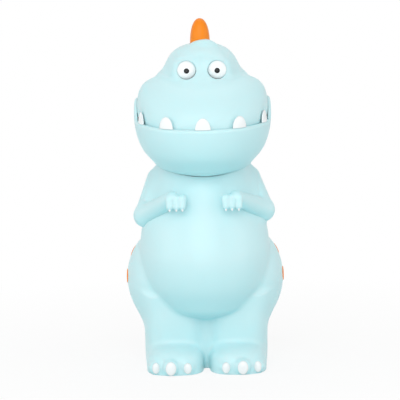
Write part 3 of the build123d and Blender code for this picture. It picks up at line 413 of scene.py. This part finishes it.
# %% Head fields
SNOUT_Y, SNOUT_Z, SNOUT_SIZE, SNOUT_SQUARENESS = -11.5, 163, (43, 47.3, 31.5), 4.5
CHEEK_TUCK, CHEEK_Z, CHEEK_RUN = 1.5, 174, 9
JAW = [
    (130, 16, -32.5, 21.5), (132, 25, -41, 28.5), (136.5, 32.4, -49, 34), (143, 38, -55.4, 38.8),
    (151, 42.2, -59.6, 42.2), (161, 44.6, -61.6, 44), (171, 45, -62, 44), (182, 44.4, -61.5, 43),
]
PIVOT, JAW_WALL = (0, -2, 166), 2.3
LIP_FRONT, LIP_BACK, LOBE = 165.0, 168.0, 12.3
SKULL, SKULL_SQUARENESS, HEAD_BACK = ((0, -3, 189.5), (25.2, 25.2, 24.2)), 2.5, (38, 42, 42)
EYE, EYE_TILT = (10.0, -27.0, 199.5), math.radians(12)


def snout_sizes(level):
    """The snout's dome: round from the side, nearly square from the front, with cheeks tucked in at the lip."""
    half, reach, rise = SNOUT_SIZE
    up = np.clip((level - SNOUT_Z) / rise, 0, 0.99)
    wide = half * (1 - up**SNOUT_SQUARENESS) ** (1 / SNOUT_SQUARENESS)
    wide = wide - CHEEK_TUCK * np.clip((CHEEK_Z - level) / CHEEK_RUN, 0, 1) ** 2
    long = reach * np.sqrt(1 - up**2)
    return wide, SNOUT_Y - long, SNOUT_Y + long


LIP = (43.65, -8.8, 51.65)  # half-width, middle and reach of the oval that the teeth stand on
TEETH = {0: 10.4, 33: 11.0, -33: 11.0, 67: 9.0, -67: 9.0}  # angle and width
DENT_SIDE, DENT_DEPTH, DENT_TALL, DENT_DROP = 1.1, 1.8, 10.6, -1.5
EYE_MOUND = ((0, 8.6, 0), (9.4, 8.6, 9.4))
HORN_ROOT = ((1.2, -7.4, 210.6), (9.6, 5.6, 6.6))


def tooth_space(points, angle):
    """Points seen from one tooth, which stands at an angle round the lip from the front."""
    half, middle, reach = LIP
    turn = math.radians(angle)
    x, y = half * math.sin(turn), -reach * math.cos(turn)
    facing = math.atan2(x / half**2, -y / reach**2)
    shifted = points - np.array([x, y + middle, LIP_FRONT])
    along = shifted[:, 0] * math.cos(facing) + shifted[:, 1] * math.sin(facing)
    deep = -shifted[:, 0] * math.sin(facing) + shifted[:, 1] * math.cos(facing)
    return np.column_stack([along, deep, shifted[:, 2]])


def eye_space(points):
    """Points seen from the eye on their own side; it looks along -Y, tipped up a little."""
    x, y, z = (one_side(points) - np.array(EYE)).T
    tip, level = math.sin(EYE_TILT), math.cos(EYE_TILT)
    return np.column_stack([x, y * level - z * tip, y * tip + z * level])


def upper_head(points):
    """The whole head above the lip, before it is hollowed."""
    dome = ovals(points, snout_sizes, 155, SNOUT_Z + 0.965 * SNOUT_SIZE[2])
    back = ball(points, PIVOT, HEAD_BACK)
    head = blend(blend(dome, back, 3), ball(points, *SKULL, power=SKULL_SQUARENESS), 2.4)
    head = blend(head, ball(eye_space(points), *EYE_MOUND, power=3), 4)
    for angle, width in TEETH.items():
        size = (width / 2 + DENT_SIDE, DENT_DEPTH, DENT_TALL)
        dent = ball(tooth_space(points, angle), (0, 0, DENT_DROP), size)
        head = carve(head, dent, 1.5)
    return blend(head, ball(points, *HORN_ROOT), 2.5)


def lower_jaw(points):
    """The outside of the jaw's bowl."""
    return lofted(points, JAW)


def jaw_shell(points):
    """The jaw's wall, with a soft lip that is level in front and rises into a lobe round each pivot."""
    outside = lower_jaw(points)
    lip = points[:, 2] - np.where(points[:, 1] < PIVOT[1], LIP_FRONT, LIP_BACK)
    lobe = np.hypot(points[:, 1] - PIVOT[1], points[:, 2] - PIVOT[2]) - LOBE
    under = blend(lip, lobe, 3.0)
    return meet(meet(outside, under, 2.2), -(outside + JAW_WALL), 0.6)


print(len(TEETH), "teeth stand on a lip", 2 * LIP[0], "mm wide")

# %% [markdown]
# ## Moulded skins and their cuts
# A field gives soft forms but blurs crisp edges. Screw holes, eye seats and the opening in the sole are cut
# afterwards with the exact boolean, which keeps every edge sharp. The cutters are closed round rods and blocks,
# and each is deleted after its cut.

# %% Cutters
def rod(axis, start, end, across, radius, sides=96):
    """Points and faces of a round rod along X, Y or Z; across is its centre on the other two axes."""
    along = "XYZ".index(axis)
    others = [other for other in range(3) if other != along]
    points = np.zeros((2 * sides, 3))
    turn = np.linspace(0, 2 * math.pi, sides, endpoint=False)
    points[:, others[0]] = across[0] + radius * np.tile(np.cos(turn), 2)
    points[:, others[1]] = across[1] + radius * np.tile(np.sin(turn), 2)
    points[:, along] = np.repeat((start, end), sides)
    walls = [(i, (i + 1) % sides, sides + (i + 1) % sides, sides + i) for i in range(sides)]
    return points, walls + [tuple(range(sides)), tuple(range(2 * sides - 1, sides - 1, -1))]


def block(low, high):
    """Points and faces of a block between two corners."""
    points = [[(low, high)[(i >> axis) & 1][axis] for axis in range(3)] for i in range(8)]
    faces = [(0, 2, 3, 1), (4, 5, 7, 6), (0, 1, 5, 4), (2, 6, 7, 3), (0, 4, 6, 2), (1, 3, 7, 5)]
    return np.array(points, float), faces


def solid(points, faces):
    """A loose object, in millimetres, with its faces turned outwards."""
    made = bmesh.new()
    corners = [made.verts.new(Vector(point) * MM) for point in points]
    for face in faces:
        made.faces.new([corners[i] for i in face])
    bmesh.ops.recalc_face_normals(made, faces=made.faces)
    mesh = bpy.data.meshes.new("cutter")
    made.to_mesh(mesh)
    made.free()
    thing = bpy.data.objects.new("cutter", mesh)
    bpy.context.scene.collection.objects.link(thing)
    return thing


def settle(thing):
    """Applies an object's modifiers to its mesh."""
    shown = thing.evaluated_get(bpy.context.evaluated_depsgraph_get())
    mesh = bpy.data.meshes.new_from_object(shown)
    thing.modifiers.clear()
    thing.data = mesh


def combine(thing, tools, operation="DIFFERENCE"):
    """Cuts the tools from the thing, or adds them, one after another."""
    for points, faces in tools:
        tool = solid(points, faces)
        step = thing.modifiers.new("cut", "BOOLEAN")
        step.object, step.operation, step.solver = tool, operation, "EXACT"
        settle(thing)
        bpy.data.objects.remove(tool)


def mirrored(shapes):
    """The shapes and their mirror images across the middle."""
    return list(shapes) + [(points * np.array([-1, 1, 1]), faces) for points, faces in shapes]


EDGE_ANGLE = math.radians(35)


def crisp(thing):
    """Smooth shading that breaks at real edges."""
    thing.data.polygons.foreach_set("use_smooth", [True] * len(thing.data.polygons))
    thing.data.set_sharp_from_angle(angle=EDGE_ANGLE)


print("a block has", len(block((0, 0, 0), (1, 1, 1))[1]), "faces, and a rod", len(rod("Z", 0, 1, (0, 0), 1)[1]))

# %% [markdown]
# The trunk, legs, feet and tail are one skin. The jaw's bowl sits in the top of it, so the bowl's own form is
# taken away, a little larger. Behind, a round bezel holds the button, and six deep holes lead to the screws.
# Underneath, a shallow seat takes the base plate and a deeper room holds the battery box.

# %% Body
def cut_level(thing, height, close=False):
    """Keeps what is above a height, in millimetres, and closes the cut if asked."""
    made = bmesh.new()
    made.from_mesh(thing.data)
    everything = list(made.verts) + list(made.edges) + list(made.faces)
    bmesh.ops.bisect_plane(
        made, geom=everything, plane_co=(0, 0, height * MM), plane_no=(0, 0, -1), clear_outer=True
    )
    if close:
        bmesh.ops.holes_fill(made, edges=[edge for edge in made.edges if edge.is_boundary])
    made.to_mesh(thing.data)
    made.free()


BOWL_GAP, BOWL_TOP = 0.3, 142
BUTTON_AT, BEZEL_RADIUS, BEZEL_Y, BUTTON_HOLE, BUTTON_HOLE_Y = (0, 106), 11.0, (20, 33.8), 8.35, 20.5
SCREWS_AT, SCREW_SEAT_Y, SCREW_HOLE = [(21, 100), (33, 66), (31, 22)], 6.05, 3.1
PLATE_SEAT = ((-25.5, -12.5, -2), (25.5, 15.5, 4.45))
BATTERY_ROOM = ((-24.2, -5.2, 4), (24.2, 13.2, 58.4))
OUTSIDE = 60  # beyond the skin on every side, so that a cutter runs right through


def bowl_room(points):
    """The jaw's bowl with a gap round it, closed off level at the top."""
    return np.maximum(lower_jaw(points) - BOWL_GAP, points[:, 2] - BOWL_TOP)


body_points, body_faces = skin(body, (-56, -58, -2.6), (56, 66, 137), 1.3)
body_skin = piece("body_skin", body_points, body_faces, "root", ("body_front", "body_rear"), "mint_plastic")
cut_level(body_skin, 0.0, close=True)
combine(body_skin, [skin(bowl_room, (-48, -65, 127), (48, 47, 144), 1.2)])
combine(body_skin, [rod("Y", *BEZEL_Y, BUTTON_AT, BEZEL_RADIUS)], "UNION")
combine(body_skin, [rod("Y", BUTTON_HOLE_Y, OUTSIDE, BUTTON_AT, BUTTON_HOLE)])
combine(body_skin, mirrored([rod("Y", SCREW_SEAT_Y, OUTSIDE, place, SCREW_HOLE, 48) for place in SCREWS_AT]))
combine(body_skin, [block(*PLATE_SEAT), block(*BATTERY_ROOM)])
crisp(body_skin)
print("body skin:", len(body_skin.data.vertices), "points")

# %% [markdown]
# Both arms are skinned on the right-hand side. The left one is then turned over, and its faces with it, so that
# they still look outwards.

# %% Arms
for side, sign, drop in (("right", 1, 0.0), ("left", -1, 2.6)):
    arm_points, arm_faces = skin(lambda points: arm(points, drop), (8, -52, 84), (52, 18, 138), 0.8)
    made = piece(
        f"arm_skin_{side}", arm_points * (sign, 1, 1), arm_faces[:, ::sign], "root", (f"arm_{side}",),
        "mint_plastic",
    )
    print(made.name, len(made.data.vertices), "points")

# %% [markdown]
# The lower jaw is an open bowl on a short spigot that stands in the neck. Its wall comes straight from the
# field, inside and out, so the lip is rounded all the way. The lobes are then thinned inside for the head and
# drilled for the pins. The floor gets its bore and four bosses for the drive frame, and the back its vents.

# %% Lower jaw
NECK_AT, SPIGOT, SPIGOT_Z, BORE, BORE_Z = (0, 7), 15.0, (117, 131), 12.4, (110, 135)
LOBE_RELIEF, LOBE_FACE_X, PIN_HOLE = 14.0, 40.2, 2.0
VENTS, VENT_HALF, VENT_Y, VENT_Z = (-12, -6, 0, 6, 12), 1.2, 26.5, (136, 146)
BOSSES, BOSS, BOSS_Z, PILOT, PILOT_Z = [(15.4, 5.6), (15.4, 15.6)], 2.8, (131, 138.9), 0.9, (133, 139.5)

jaw_points, jaw_faces = skin(jaw_shell, (-47, -64, 128), (47, 46, 180), 0.9)
jaw_skin = piece("jaw_skin", jaw_points, jaw_faces, "root", ("lower_jaw",), "mint_plastic")
combine(jaw_skin, [rod("Z", *SPIGOT_Z, NECK_AT, SPIGOT)], "UNION")
combine(jaw_skin, [rod("Z", *BORE_Z, NECK_AT, BORE)])
combine(jaw_skin, mirrored([
    rod("X", 20, LOBE_FACE_X, PIVOT[1:], LOBE_RELIEF),
    rod("X", 30, OUTSIDE, PIVOT[1:], PIN_HOLE, 48),
]))
combine(jaw_skin, [
    block((x - VENT_HALF, VENT_Y, VENT_Z[0]), (x + VENT_HALF, OUTSIDE, VENT_Z[1])) for x in VENTS
])
combine(jaw_skin, mirrored([rod("Z", *BOSS_Z, place, BOSS, 32) for place in BOSSES]), "UNION")
combine(jaw_skin, mirrored([rod("Z", *PILOT_Z, place, PILOT, 24) for place in BOSSES]))
crisp(jaw_skin)
print("jaw skin:", len(jaw_skin.data.vertices), "points")

# %% [markdown]
# The upper head is a thin lid. Its skin is cut off level at the lip and thickened inwards. A round boss is added
# at each pivot. Then come the seats of the two eyes, the holes for the pins, and room for the lobes of the jaw.

# %% Upper head
HEAD_RIM_Z, HEAD_WALL, EAR_FACE_X = 160.5, 2.2, 39.8
LOBE_ROOM, PIVOT_BOSS, PIN_ROOM = 13.2, 5.2, 2.06
EYE_SEAT, SEAT_DEPTH = 6.35, 1.2


def turned(outline, sides=64):
    """Points and faces of an outline of (radius, y) swept round the Y axis."""
    points, faces, count = [], [], len(outline)
    for step in range(sides):
        turn = 2 * math.pi * step / sides
        points += [(r * math.cos(turn), y, r * math.sin(turn)) for r, y in outline]
        near, far = step * count, (step + 1) % sides * count
        faces += [(near + i, near + (i + 1) % count, far + (i + 1) % count, far + i) for i in range(count)]
    return np.array(points), faces


def at_eye(shape, side=1):
    """Moves a shape from the eye's own axes to its place on one side of the head."""
    (x, y, z), faces = shape[0].T, shape[1]
    tip, level = math.sin(EYE_TILT), math.cos(EYE_TILT)
    moved = np.column_stack([side * EYE[0] + x, EYE[1] + y * level + z * tip, EYE[2] - y * tip + z * level])
    return moved, faces


head_points, head_faces = skin(upper_head, (-46, -62, 155), (46, 46, 218), 1.2)
head_skin = piece("head_skin", head_points, head_faces, "upper_head", ("upper_head",), "mint_plastic")
cut_level(head_skin, HEAD_RIM_Z)
thicken = head_skin.modifiers.new("wall", "SOLIDIFY")
thicken.thickness, thicken.offset, thicken.use_even_offset = HEAD_WALL * MM, -1, False
settle(head_skin)
combine(head_skin, mirrored([rod("X", 34.8, EAR_FACE_X, PIVOT[1:], PIVOT_BOSS, 48)]), "UNION")
combine(head_skin, mirrored([
    rod("X", EAR_FACE_X, OUTSIDE, PIVOT[1:], LOBE_ROOM),
    rod("X", 30, 50, PIVOT[1:], PIN_ROOM, 48),
    at_eye(rod("Y", -8, SEAT_DEPTH, (0, 0), EYE_SEAT)),
]))
crisp(head_skin)
print("head skin:", len(head_skin.data.vertices), "points")

# %% [markdown]
# Each eye is a white moulded lens, flatter than a ball, pressed into a shallow round seat with a narrow groove
# left round it. The pupil is a black button on the lens, set a little low. Both are turned forms: an outline of
# radius and depth is drawn once and swept round the eye's own axis.

# %% Eyes
LENS, BULGE, LENS_EDGE, LENS_BACK = 6.1, 2.0, 1.1, 1.18
BUTTON_DROP = np.array([0, 0.03, -0.55])
turns = np.linspace(0.01, math.pi / 2, 24)
dome = [(LENS * math.sin(turn), LENS_EDGE - BULGE * math.cos(turn)) for turn in turns]
lens = turned(dome + [(LENS, LENS_BACK), (0.05, LENS_BACK)])
button = turned([(0.02, -1.15), (1.2, -1.1), (1.65, -0.98), (1.85, -0.75), (1.85, 0.4), (0.02, 0.4)], 48)
button = (button[0] + BUTTON_DROP, button[1])
for name, side in (("right", 1), ("left", -1)):
    crisp(piece(f"eye_lens_{name}", *at_eye(lens, side), "upper_head", (f"eye_{name}",), "white_plastic"))
    crisp(piece(f"eye_button_{name}", *at_eye(button, side), "upper_head", (f"pupil_{name}",), "black_plastic"))
print("an eye is", 2 * LENS, "mm across")

# %% [markdown]
# The horn, the teeth, the nails, the claws and the spots on the hips are small plugs, pressed into the shells.
# Round ends are what the eye reads in them, so each is a field of its own on a fine grid. The horn and the
# teeth are cut off level where they meet their shells.

# %% Horn, teeth, nails, claws and spots
def plug(name, field, low, high, step, body, replaced, slot):
    """A small skinned piece."""
    points, faces = skin(field, low, high, step)
    return piece(name, points, faces, body, replaced, slot)


HORN, HORN_FOOT = ((-0.9, -1, 213.8), (6.5, 7.8, 16.2)), 212.0
TOOTH_THICK, TOOTH_TALL, TOOTH_FOOT = 1.1, 7.8, 165.02
NAIL_DEPTH = 2.0
NAILS = [  # x, y and z of the middle, half-width and half-height
    (12.6, -45.1, 4.7, 2.7, 3.7), (23.6, -48.7, 5.4, 3.5, 4.6), (33.4, -43.4, 4.8, 2.5, 3.7),
]
SPOTS, SPOT_RISE = [(12, 73, 4.6), (3.5, 58, 4.9), (21, 57, 4.0)], 0.5  # y, z and radius


def horn(points):
    """The horn, which runs on into the head."""
    return ball(points, *HORN, power=2.2)


def teeth(points):
    """Five flat ovals round the lip."""
    return any_of(
        ball(tooth_space(points, angle), (0, 0, 0), (width / 2, TOOTH_THICK, TOOTH_TALL))
        for angle, width in TEETH.items()
    )


def toe_nails(points):
    """Three ovals on each foot."""
    folded = one_side(points)
    return any_of(ball(folded, (x, y, z), (half, NAIL_DEPTH, rise)) for x, y, z, half, rise in NAILS)


def claw(points, x):
    """One small claw, under the finger at x."""
    _, y, z = finger_tip(x)
    return limb(points, (x, y - 0.9, z - 1.2), 1.0, (x, y - 1.5, z - 2.4), 0.5)


def claws(points):
    """Three claws on each hand."""
    folded = one_side(points)
    return any_of(claw(folded, x) for x in FINGERS)


def spot(points, y, z, radius):
    """One shallow button that follows the hip's curve."""
    centre, radii = HIP
    over = ball(points, centre, [reach + SPOT_RISE for reach in radii])
    left = 1 - ((y - centre[1]) / radii[1]) ** 2 - ((z - centre[2]) / radii[2]) ** 2
    x = centre[0] + radii[0] * math.sqrt(left)
    return meet(over, ball(points, (x - 0.5, y, z), (radius,) * 3), 1.0)


def spots(points):
    """Three spots on each hip."""
    folded = one_side(points)
    return any_of(spot(folded, *place) for place in SPOTS)


horn_plug = plug(
    "horn_plug", horn, (-8, -11, 208), (8, 9, 231.5), 0.5, "upper_head", ("horn",), "orange_plastic"
)
cut_level(horn_plug, HORN_FOOT, close=True)
tooth_plugs = plug(
    "tooth_plugs", teeth, (-46, -62, 162), (46, -20, 174), 0.5, "root", ("jaw_teeth",), "white_plastic"
)
cut_level(tooth_plugs, TOOTH_FOOT, close=True)
plug("toe_nail_plugs", toe_nails, (-38, -53, -0.5), (38, -40, 12), 0.5, "root", ("toe_nails",), "white_plastic")
plug("claw_plugs", claws, (-27, -49, 104), (27, -43, 112), 0.4, "root", ("finger_claws",), "white_plastic")
for side, low_x in (("right", 40), ("left", -55)):
    low, high = (low_x, -4, 50), (low_x + 15, 28, 80)
    plug(f"hip_spots_{side}", spots, low, high, 0.6, "root", (f"flank_spots_{side}",), "orange_plastic")
print("the horn is", 2 * HORN[1][0], "mm wide")

# %% [markdown]
# ## Finishes
# The shells, the arms and the head are ABS, injection moulded with a satin tool: soft highlights, a very fine
# orange-peel skin, and colour that runs right through. Pale ABS also scatters light inside it. Blue and green
# travel further there than red, so a narrow gap reads teal rather than grey. Faces that look down get painted
# shade: their mint is painted deeper, standing in for the shade under the jaw and belly. The peel is about a
# millimetre across, and the colour and gloss drift over 30 mm.

# %% Moulded plastic
# DOWN and LEVEL are the upward parts of a face's normal where the painted shade is full and where it ends.
DRIFT_MM, GLOSS_SPREAD, DOWN, LEVEL = 30, 0.04, -0.75, 0.1


def plastic(name, colour, roughness=0.35, peel_mm=0.9, peel=0.03, spread=0.035, coat=0.0, ior=1.53, scatter=0.0,
            shade=None):
    """Moulded plastic: a hex colour with slight drifts, a fine peel, a gloss that varies a little, and, where a
    deeper colour is given, a painted shade on faces that look down.
    """
    material, tree = new_material(name)
    place = add(tree, "ShaderNodeTexCoord").outputs["Object"]
    broad = add(tree, "ShaderNodeTexNoise", Vector=place, Scale=1 / (DRIFT_MM * MM), Detail=2.0)
    fine = add(tree, "ShaderNodeTexNoise", Vector=place, Scale=1 / (peel_mm * MM), Detail=1.0)
    base = linear(colour)
    dark = [part * (1 - spread) for part in base[:3]] + [1.0]
    tint = add(tree, "ShaderNodeMix", {"data_type": "RGBA"}, _0=broad.outputs[0], _6=base, _7=dark)
    # Painted shade: faces that look down are mixed towards the deeper colour, standing in for the shade under
    # overhanging forms.
    if shade:
        normal = add(tree, "ShaderNodeSeparateXYZ", Vector=add(tree, "ShaderNodeNewGeometry").outputs["Normal"])
        facing = add(tree, "ShaderNodeMapRange", Value=normal.outputs[2], From_Min=DOWN, From_Max=LEVEL)
        tint = add(
            tree, "ShaderNodeMix", {"data_type": "RGBA"}, _0=facing.outputs[0], _6=linear(shade),
            _7=tint.outputs[2],
        )
    gloss = add(
        tree, "ShaderNodeMapRange", Value=broad.outputs[0], To_Min=roughness - GLOSS_SPREAD,
        To_Max=roughness + GLOSS_SPREAD,
    )
    bump = add(tree, "ShaderNodeBump", Strength=peel, Distance=0.2 * MM, Height=fine.outputs[0])
    shader = add(
        tree, "ShaderNodeBsdfPrincipled", Base_Color=tint.outputs[2], Roughness=gloss.outputs[0], IOR=ior,
        Coat_Weight=coat, Coat_Roughness=0.12, Subsurface_Weight=scatter, Subsurface_Scale=1.5 * MM,
        Subsurface_Radius=(0.5, 1.0, 1.0), Normal=bump.outputs[0],
    )
    add(tree, "ShaderNodeOutputMaterial", Surface=shader.outputs[0])
    return material


finishes = {
    # The mint's second colour, #b2e8ee, is painted shade for faces that look down.
    "mint_plastic": plastic("mint ABS, satin moulded", MINT, 0.4, scatter=0.35, shade="#b2e8ee"),
    "orange_plastic": plastic("orange ABS, satin moulded", "#f98c16", 0.42, ior=1.35),
    "white_plastic": plastic("white ABS, polished", "#f3f8f9", 0.18, peel=0.01, spread=0.01, coat=0.3),
    "black_plastic": plastic("black ABS, polished", "#05090b", 0.25, peel=0.01, ior=1.35),
    "tray_plastic": plastic("yellow polypropylene", "#f6cf4d", 0.38, ior=1.49),
    "inner_plastic": plastic("grey ABS, as moulded", "#c9d3d6", 0.45),
    "gear_plastic": plastic("natural acetal", "#eeece2", 0.32, ior=1.48),
    "dark_plastic": plastic("charcoal ABS", "#33393c", 0.42),
    "cell_wrap": plastic("printed cell sleeve", "#3f7f8c", 0.3, peel=0.005),
    "board": plastic("green solder mask", "#1f6b45", 0.35, peel_mm=0.4),
}
print(len(finishes), "plastic finishes")

# %% [markdown]
# The screws, shafts, springs and contacts are nickel-plated steel, turned or drawn. The tool leaves rings about
# a quarter of a millimetre apart that stretch each highlight a little.

# %% Steel
def steel():
    """Nickel-plated steel with fine rings in its gloss and its bump."""
    material, tree = new_material("nickel-plated steel, turned")
    place = add(tree, "ShaderNodeTexCoord").outputs["Object"]
    rings = add(
        tree, "ShaderNodeTexWave", {"wave_type": "RINGS"}, Vector=place, Scale=1 / (5 * MM), Distortion=1.5
    )
    gloss = add(tree, "ShaderNodeMapRange", Value=rings.outputs[1], To_Min=0.22, To_Max=0.34)
    bump = add(tree, "ShaderNodeBump", Strength=0.08, Distance=0.05 * MM, Height=rings.outputs[1])
    shader = add(
        tree, "ShaderNodeBsdfPrincipled", Base_Color=linear("#c9cbcb"), Metallic=1.0,
        Roughness=gloss.outputs[0], Normal=bump.outputs[0],
    )
    add(tree, "ShaderNodeOutputMaterial", Surface=shader.outputs[0])
    return material


finishes["steel"] = steel()
print("finishes:", ", ".join(sorted(finishes)))

# %% [markdown]
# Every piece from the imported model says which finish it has, and each new skin was given its own above. A finish
# goes on by filling the object's one material slot.

# %% Put the finishes on
things = dict(frame["nodes"], **{thing.name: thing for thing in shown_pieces()})
for part in frame["record"]["subparts"]:
    finish_of[part["node"]] = part["material_slot"]
for name, thing in things.items():
    thing.data.materials.clear()
    thing.data.materials.append(finishes[finish_of[name]])

# %% [markdown]
# ## Studio
# A plain pale floor runs under the machine. To the camera, and in reflections, the background is white, and so
# is the floor, except that a share of its matt board shows near the machine and takes a faint shadow. To all
# other light the floor is the board alone, so it sends a little back up, and the world is a soft grey dome.

# %% Floor and world
FLOOR_HALF, SHADOW_NEAR, SHADOW_FAR, FLOOR_WHITE = 3.0, 0.08, 0.3, 0.86


def seen_directly(tree):
    """One for a ray from the camera, a reflection or a ray through glass, and nought for all others."""
    ray = add(tree, "ShaderNodeLightPath").outputs
    larger = {"operation": "MAXIMUM"}
    either = add(tree, "ShaderNodeMath", larger, _0=ray["Is Camera Ray"], _1=ray["Is Glossy Ray"])
    return add(tree, "ShaderNodeMath", larger, _0=either.outputs[0], _1=ray["Is Transmission Ray"]).outputs[0]


reach = FLOOR_HALF / MM
floor = solid([(-reach, -reach, 0), (reach, -reach, 0), (reach, reach, 0), (-reach, reach, 0)], [(0, 1, 2, 3)])
floor.name = "floor"
floor.location.z = -0.2 * MM
floor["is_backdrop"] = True
material, tree = new_material("matt white card")
grain = add(tree, "ShaderNodeTexNoise", Scale=400.0)
card = add(
    tree, "ShaderNodeMix", {"data_type": "RGBA"}, _0=grain.outputs[0], _6=linear("#f4f4f4"), _7=linear("#fafafa")
)
board = add(tree, "ShaderNodeBsdfDiffuse", Color=card.outputs[2])
white = add(tree, "ShaderNodeEmission", Color=linear("#ffffff"), Strength=1.0)
place = add(tree, "ShaderNodeTexCoord").outputs["Object"]
away = add(tree, "ShaderNodeVectorMath", {"operation": "LENGTH"}, _0=place).outputs["Value"]
plain = add(
    tree, "ShaderNodeMapRange", Value=away, From_Min=SHADOW_NEAR, From_Max=SHADOW_FAR, To_Min=FLOOR_WHITE,
    To_Max=1.0,
)
share = add(tree, "ShaderNodeMath", {"operation": "MULTIPLY"}, _0=seen_directly(tree), _1=plain.outputs[0])
mix = add(tree, "ShaderNodeMixShader", _0=share.outputs[0], _1=board.outputs[0], _2=white.outputs[0])
add(tree, "ShaderNodeOutputMaterial", Surface=mix.outputs[0])
floor.data.materials.append(material)

world = bpy.data.worlds.new("studio dome")
bpy.context.scene.world = world
world.use_nodes = True
tree = world.node_tree
tree.nodes.clear()
dome = add(tree, "ShaderNodeBackground", Color=linear("#ffffff"), Strength=0.5)
white = add(tree, "ShaderNodeBackground", Color=linear("#ffffff"), Strength=1.0)
mix = add(tree, "ShaderNodeMixShader", _0=seen_directly(tree), _1=dome.outputs[0], _2=white.outputs[0])
add(tree, "ShaderNodeOutputWorld", Surface=mix.outputs[0])
print("the floor is", 2 * FLOOR_HALF, "m across")

# %% [markdown]
# Four large softboxes shape the forms: a key light high in front, one on each side, and one from above and
# behind. Each is a square area light aimed at the machine's middle, and its strength is in watts.

# %% Lights
low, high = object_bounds()
middle = (low + high) / 2


def softbox(name, azimuth, elevation, distance, size, power):
    """A square area light aimed at the machine's middle; azimuth 0 is in front of it."""
    turn, rise = math.radians(azimuth), math.radians(elevation)
    away = Vector((-math.sin(turn) * math.cos(rise), -math.cos(turn) * math.cos(rise), math.sin(rise)))
    data = bpy.data.lights.new(name, "AREA")
    data.size, data.energy = size, power
    lamp = bpy.data.objects.new(name, data)
    lamp.location = middle + away * distance
    lamp.rotation_euler = (-away).to_track_quat("-Z", "Y").to_euler()
    bpy.context.scene.collection.objects.link(lamp)


softbox("key softbox", 6, 31, 1.2, 0.9, 5.8)
softbox("left softbox", 65, 14, 1.3, 0.7, 2.2)
softbox("right softbox", -65, 14, 1.3, 0.7, 2.2)
softbox("top softbox", 180, 70, 1.2, 0.8, 2.0)
print("four softboxes")

# %% [markdown]
# A long lens from three metres keeps the front view nearly flat. The camera looks down by ten degrees and is
# rolled by one, and its frame is 264 mm wide where the machine stands.

# %% Camera
camera = bpy.data.objects.new("camera", bpy.data.cameras.new("camera"))
bpy.context.scene.collection.objects.link(camera)
bpy.context.scene.camera = camera
DISTANCE, FRAME_WIDTH, SENSOR, LOOK_DOWN, ROLL = 3.0, 0.2644, 36, math.radians(10), math.radians(-1)
AIM = Vector((-2.65, 0, 108.7)) * MM
camera.data.sensor_width, camera.data.lens = SENSOR, SENSOR * DISTANCE / FRAME_WIDTH
camera.location = AIM + Vector((0, -math.cos(LOOK_DOWN), math.sin(LOOK_DOWN))) * DISTANCE
camera.rotation_euler = (math.radians(90) - LOOK_DOWN, 0, 0)
camera.rotation_euler.rotate_axis("Z", ROLL)
bpy.context.scene.view_settings.view_transform = "Standard"
print("the camera stands", round(camera.location.length, 2), "m away")

# %% [markdown]

# %% End of the scene
print("the scene is built")
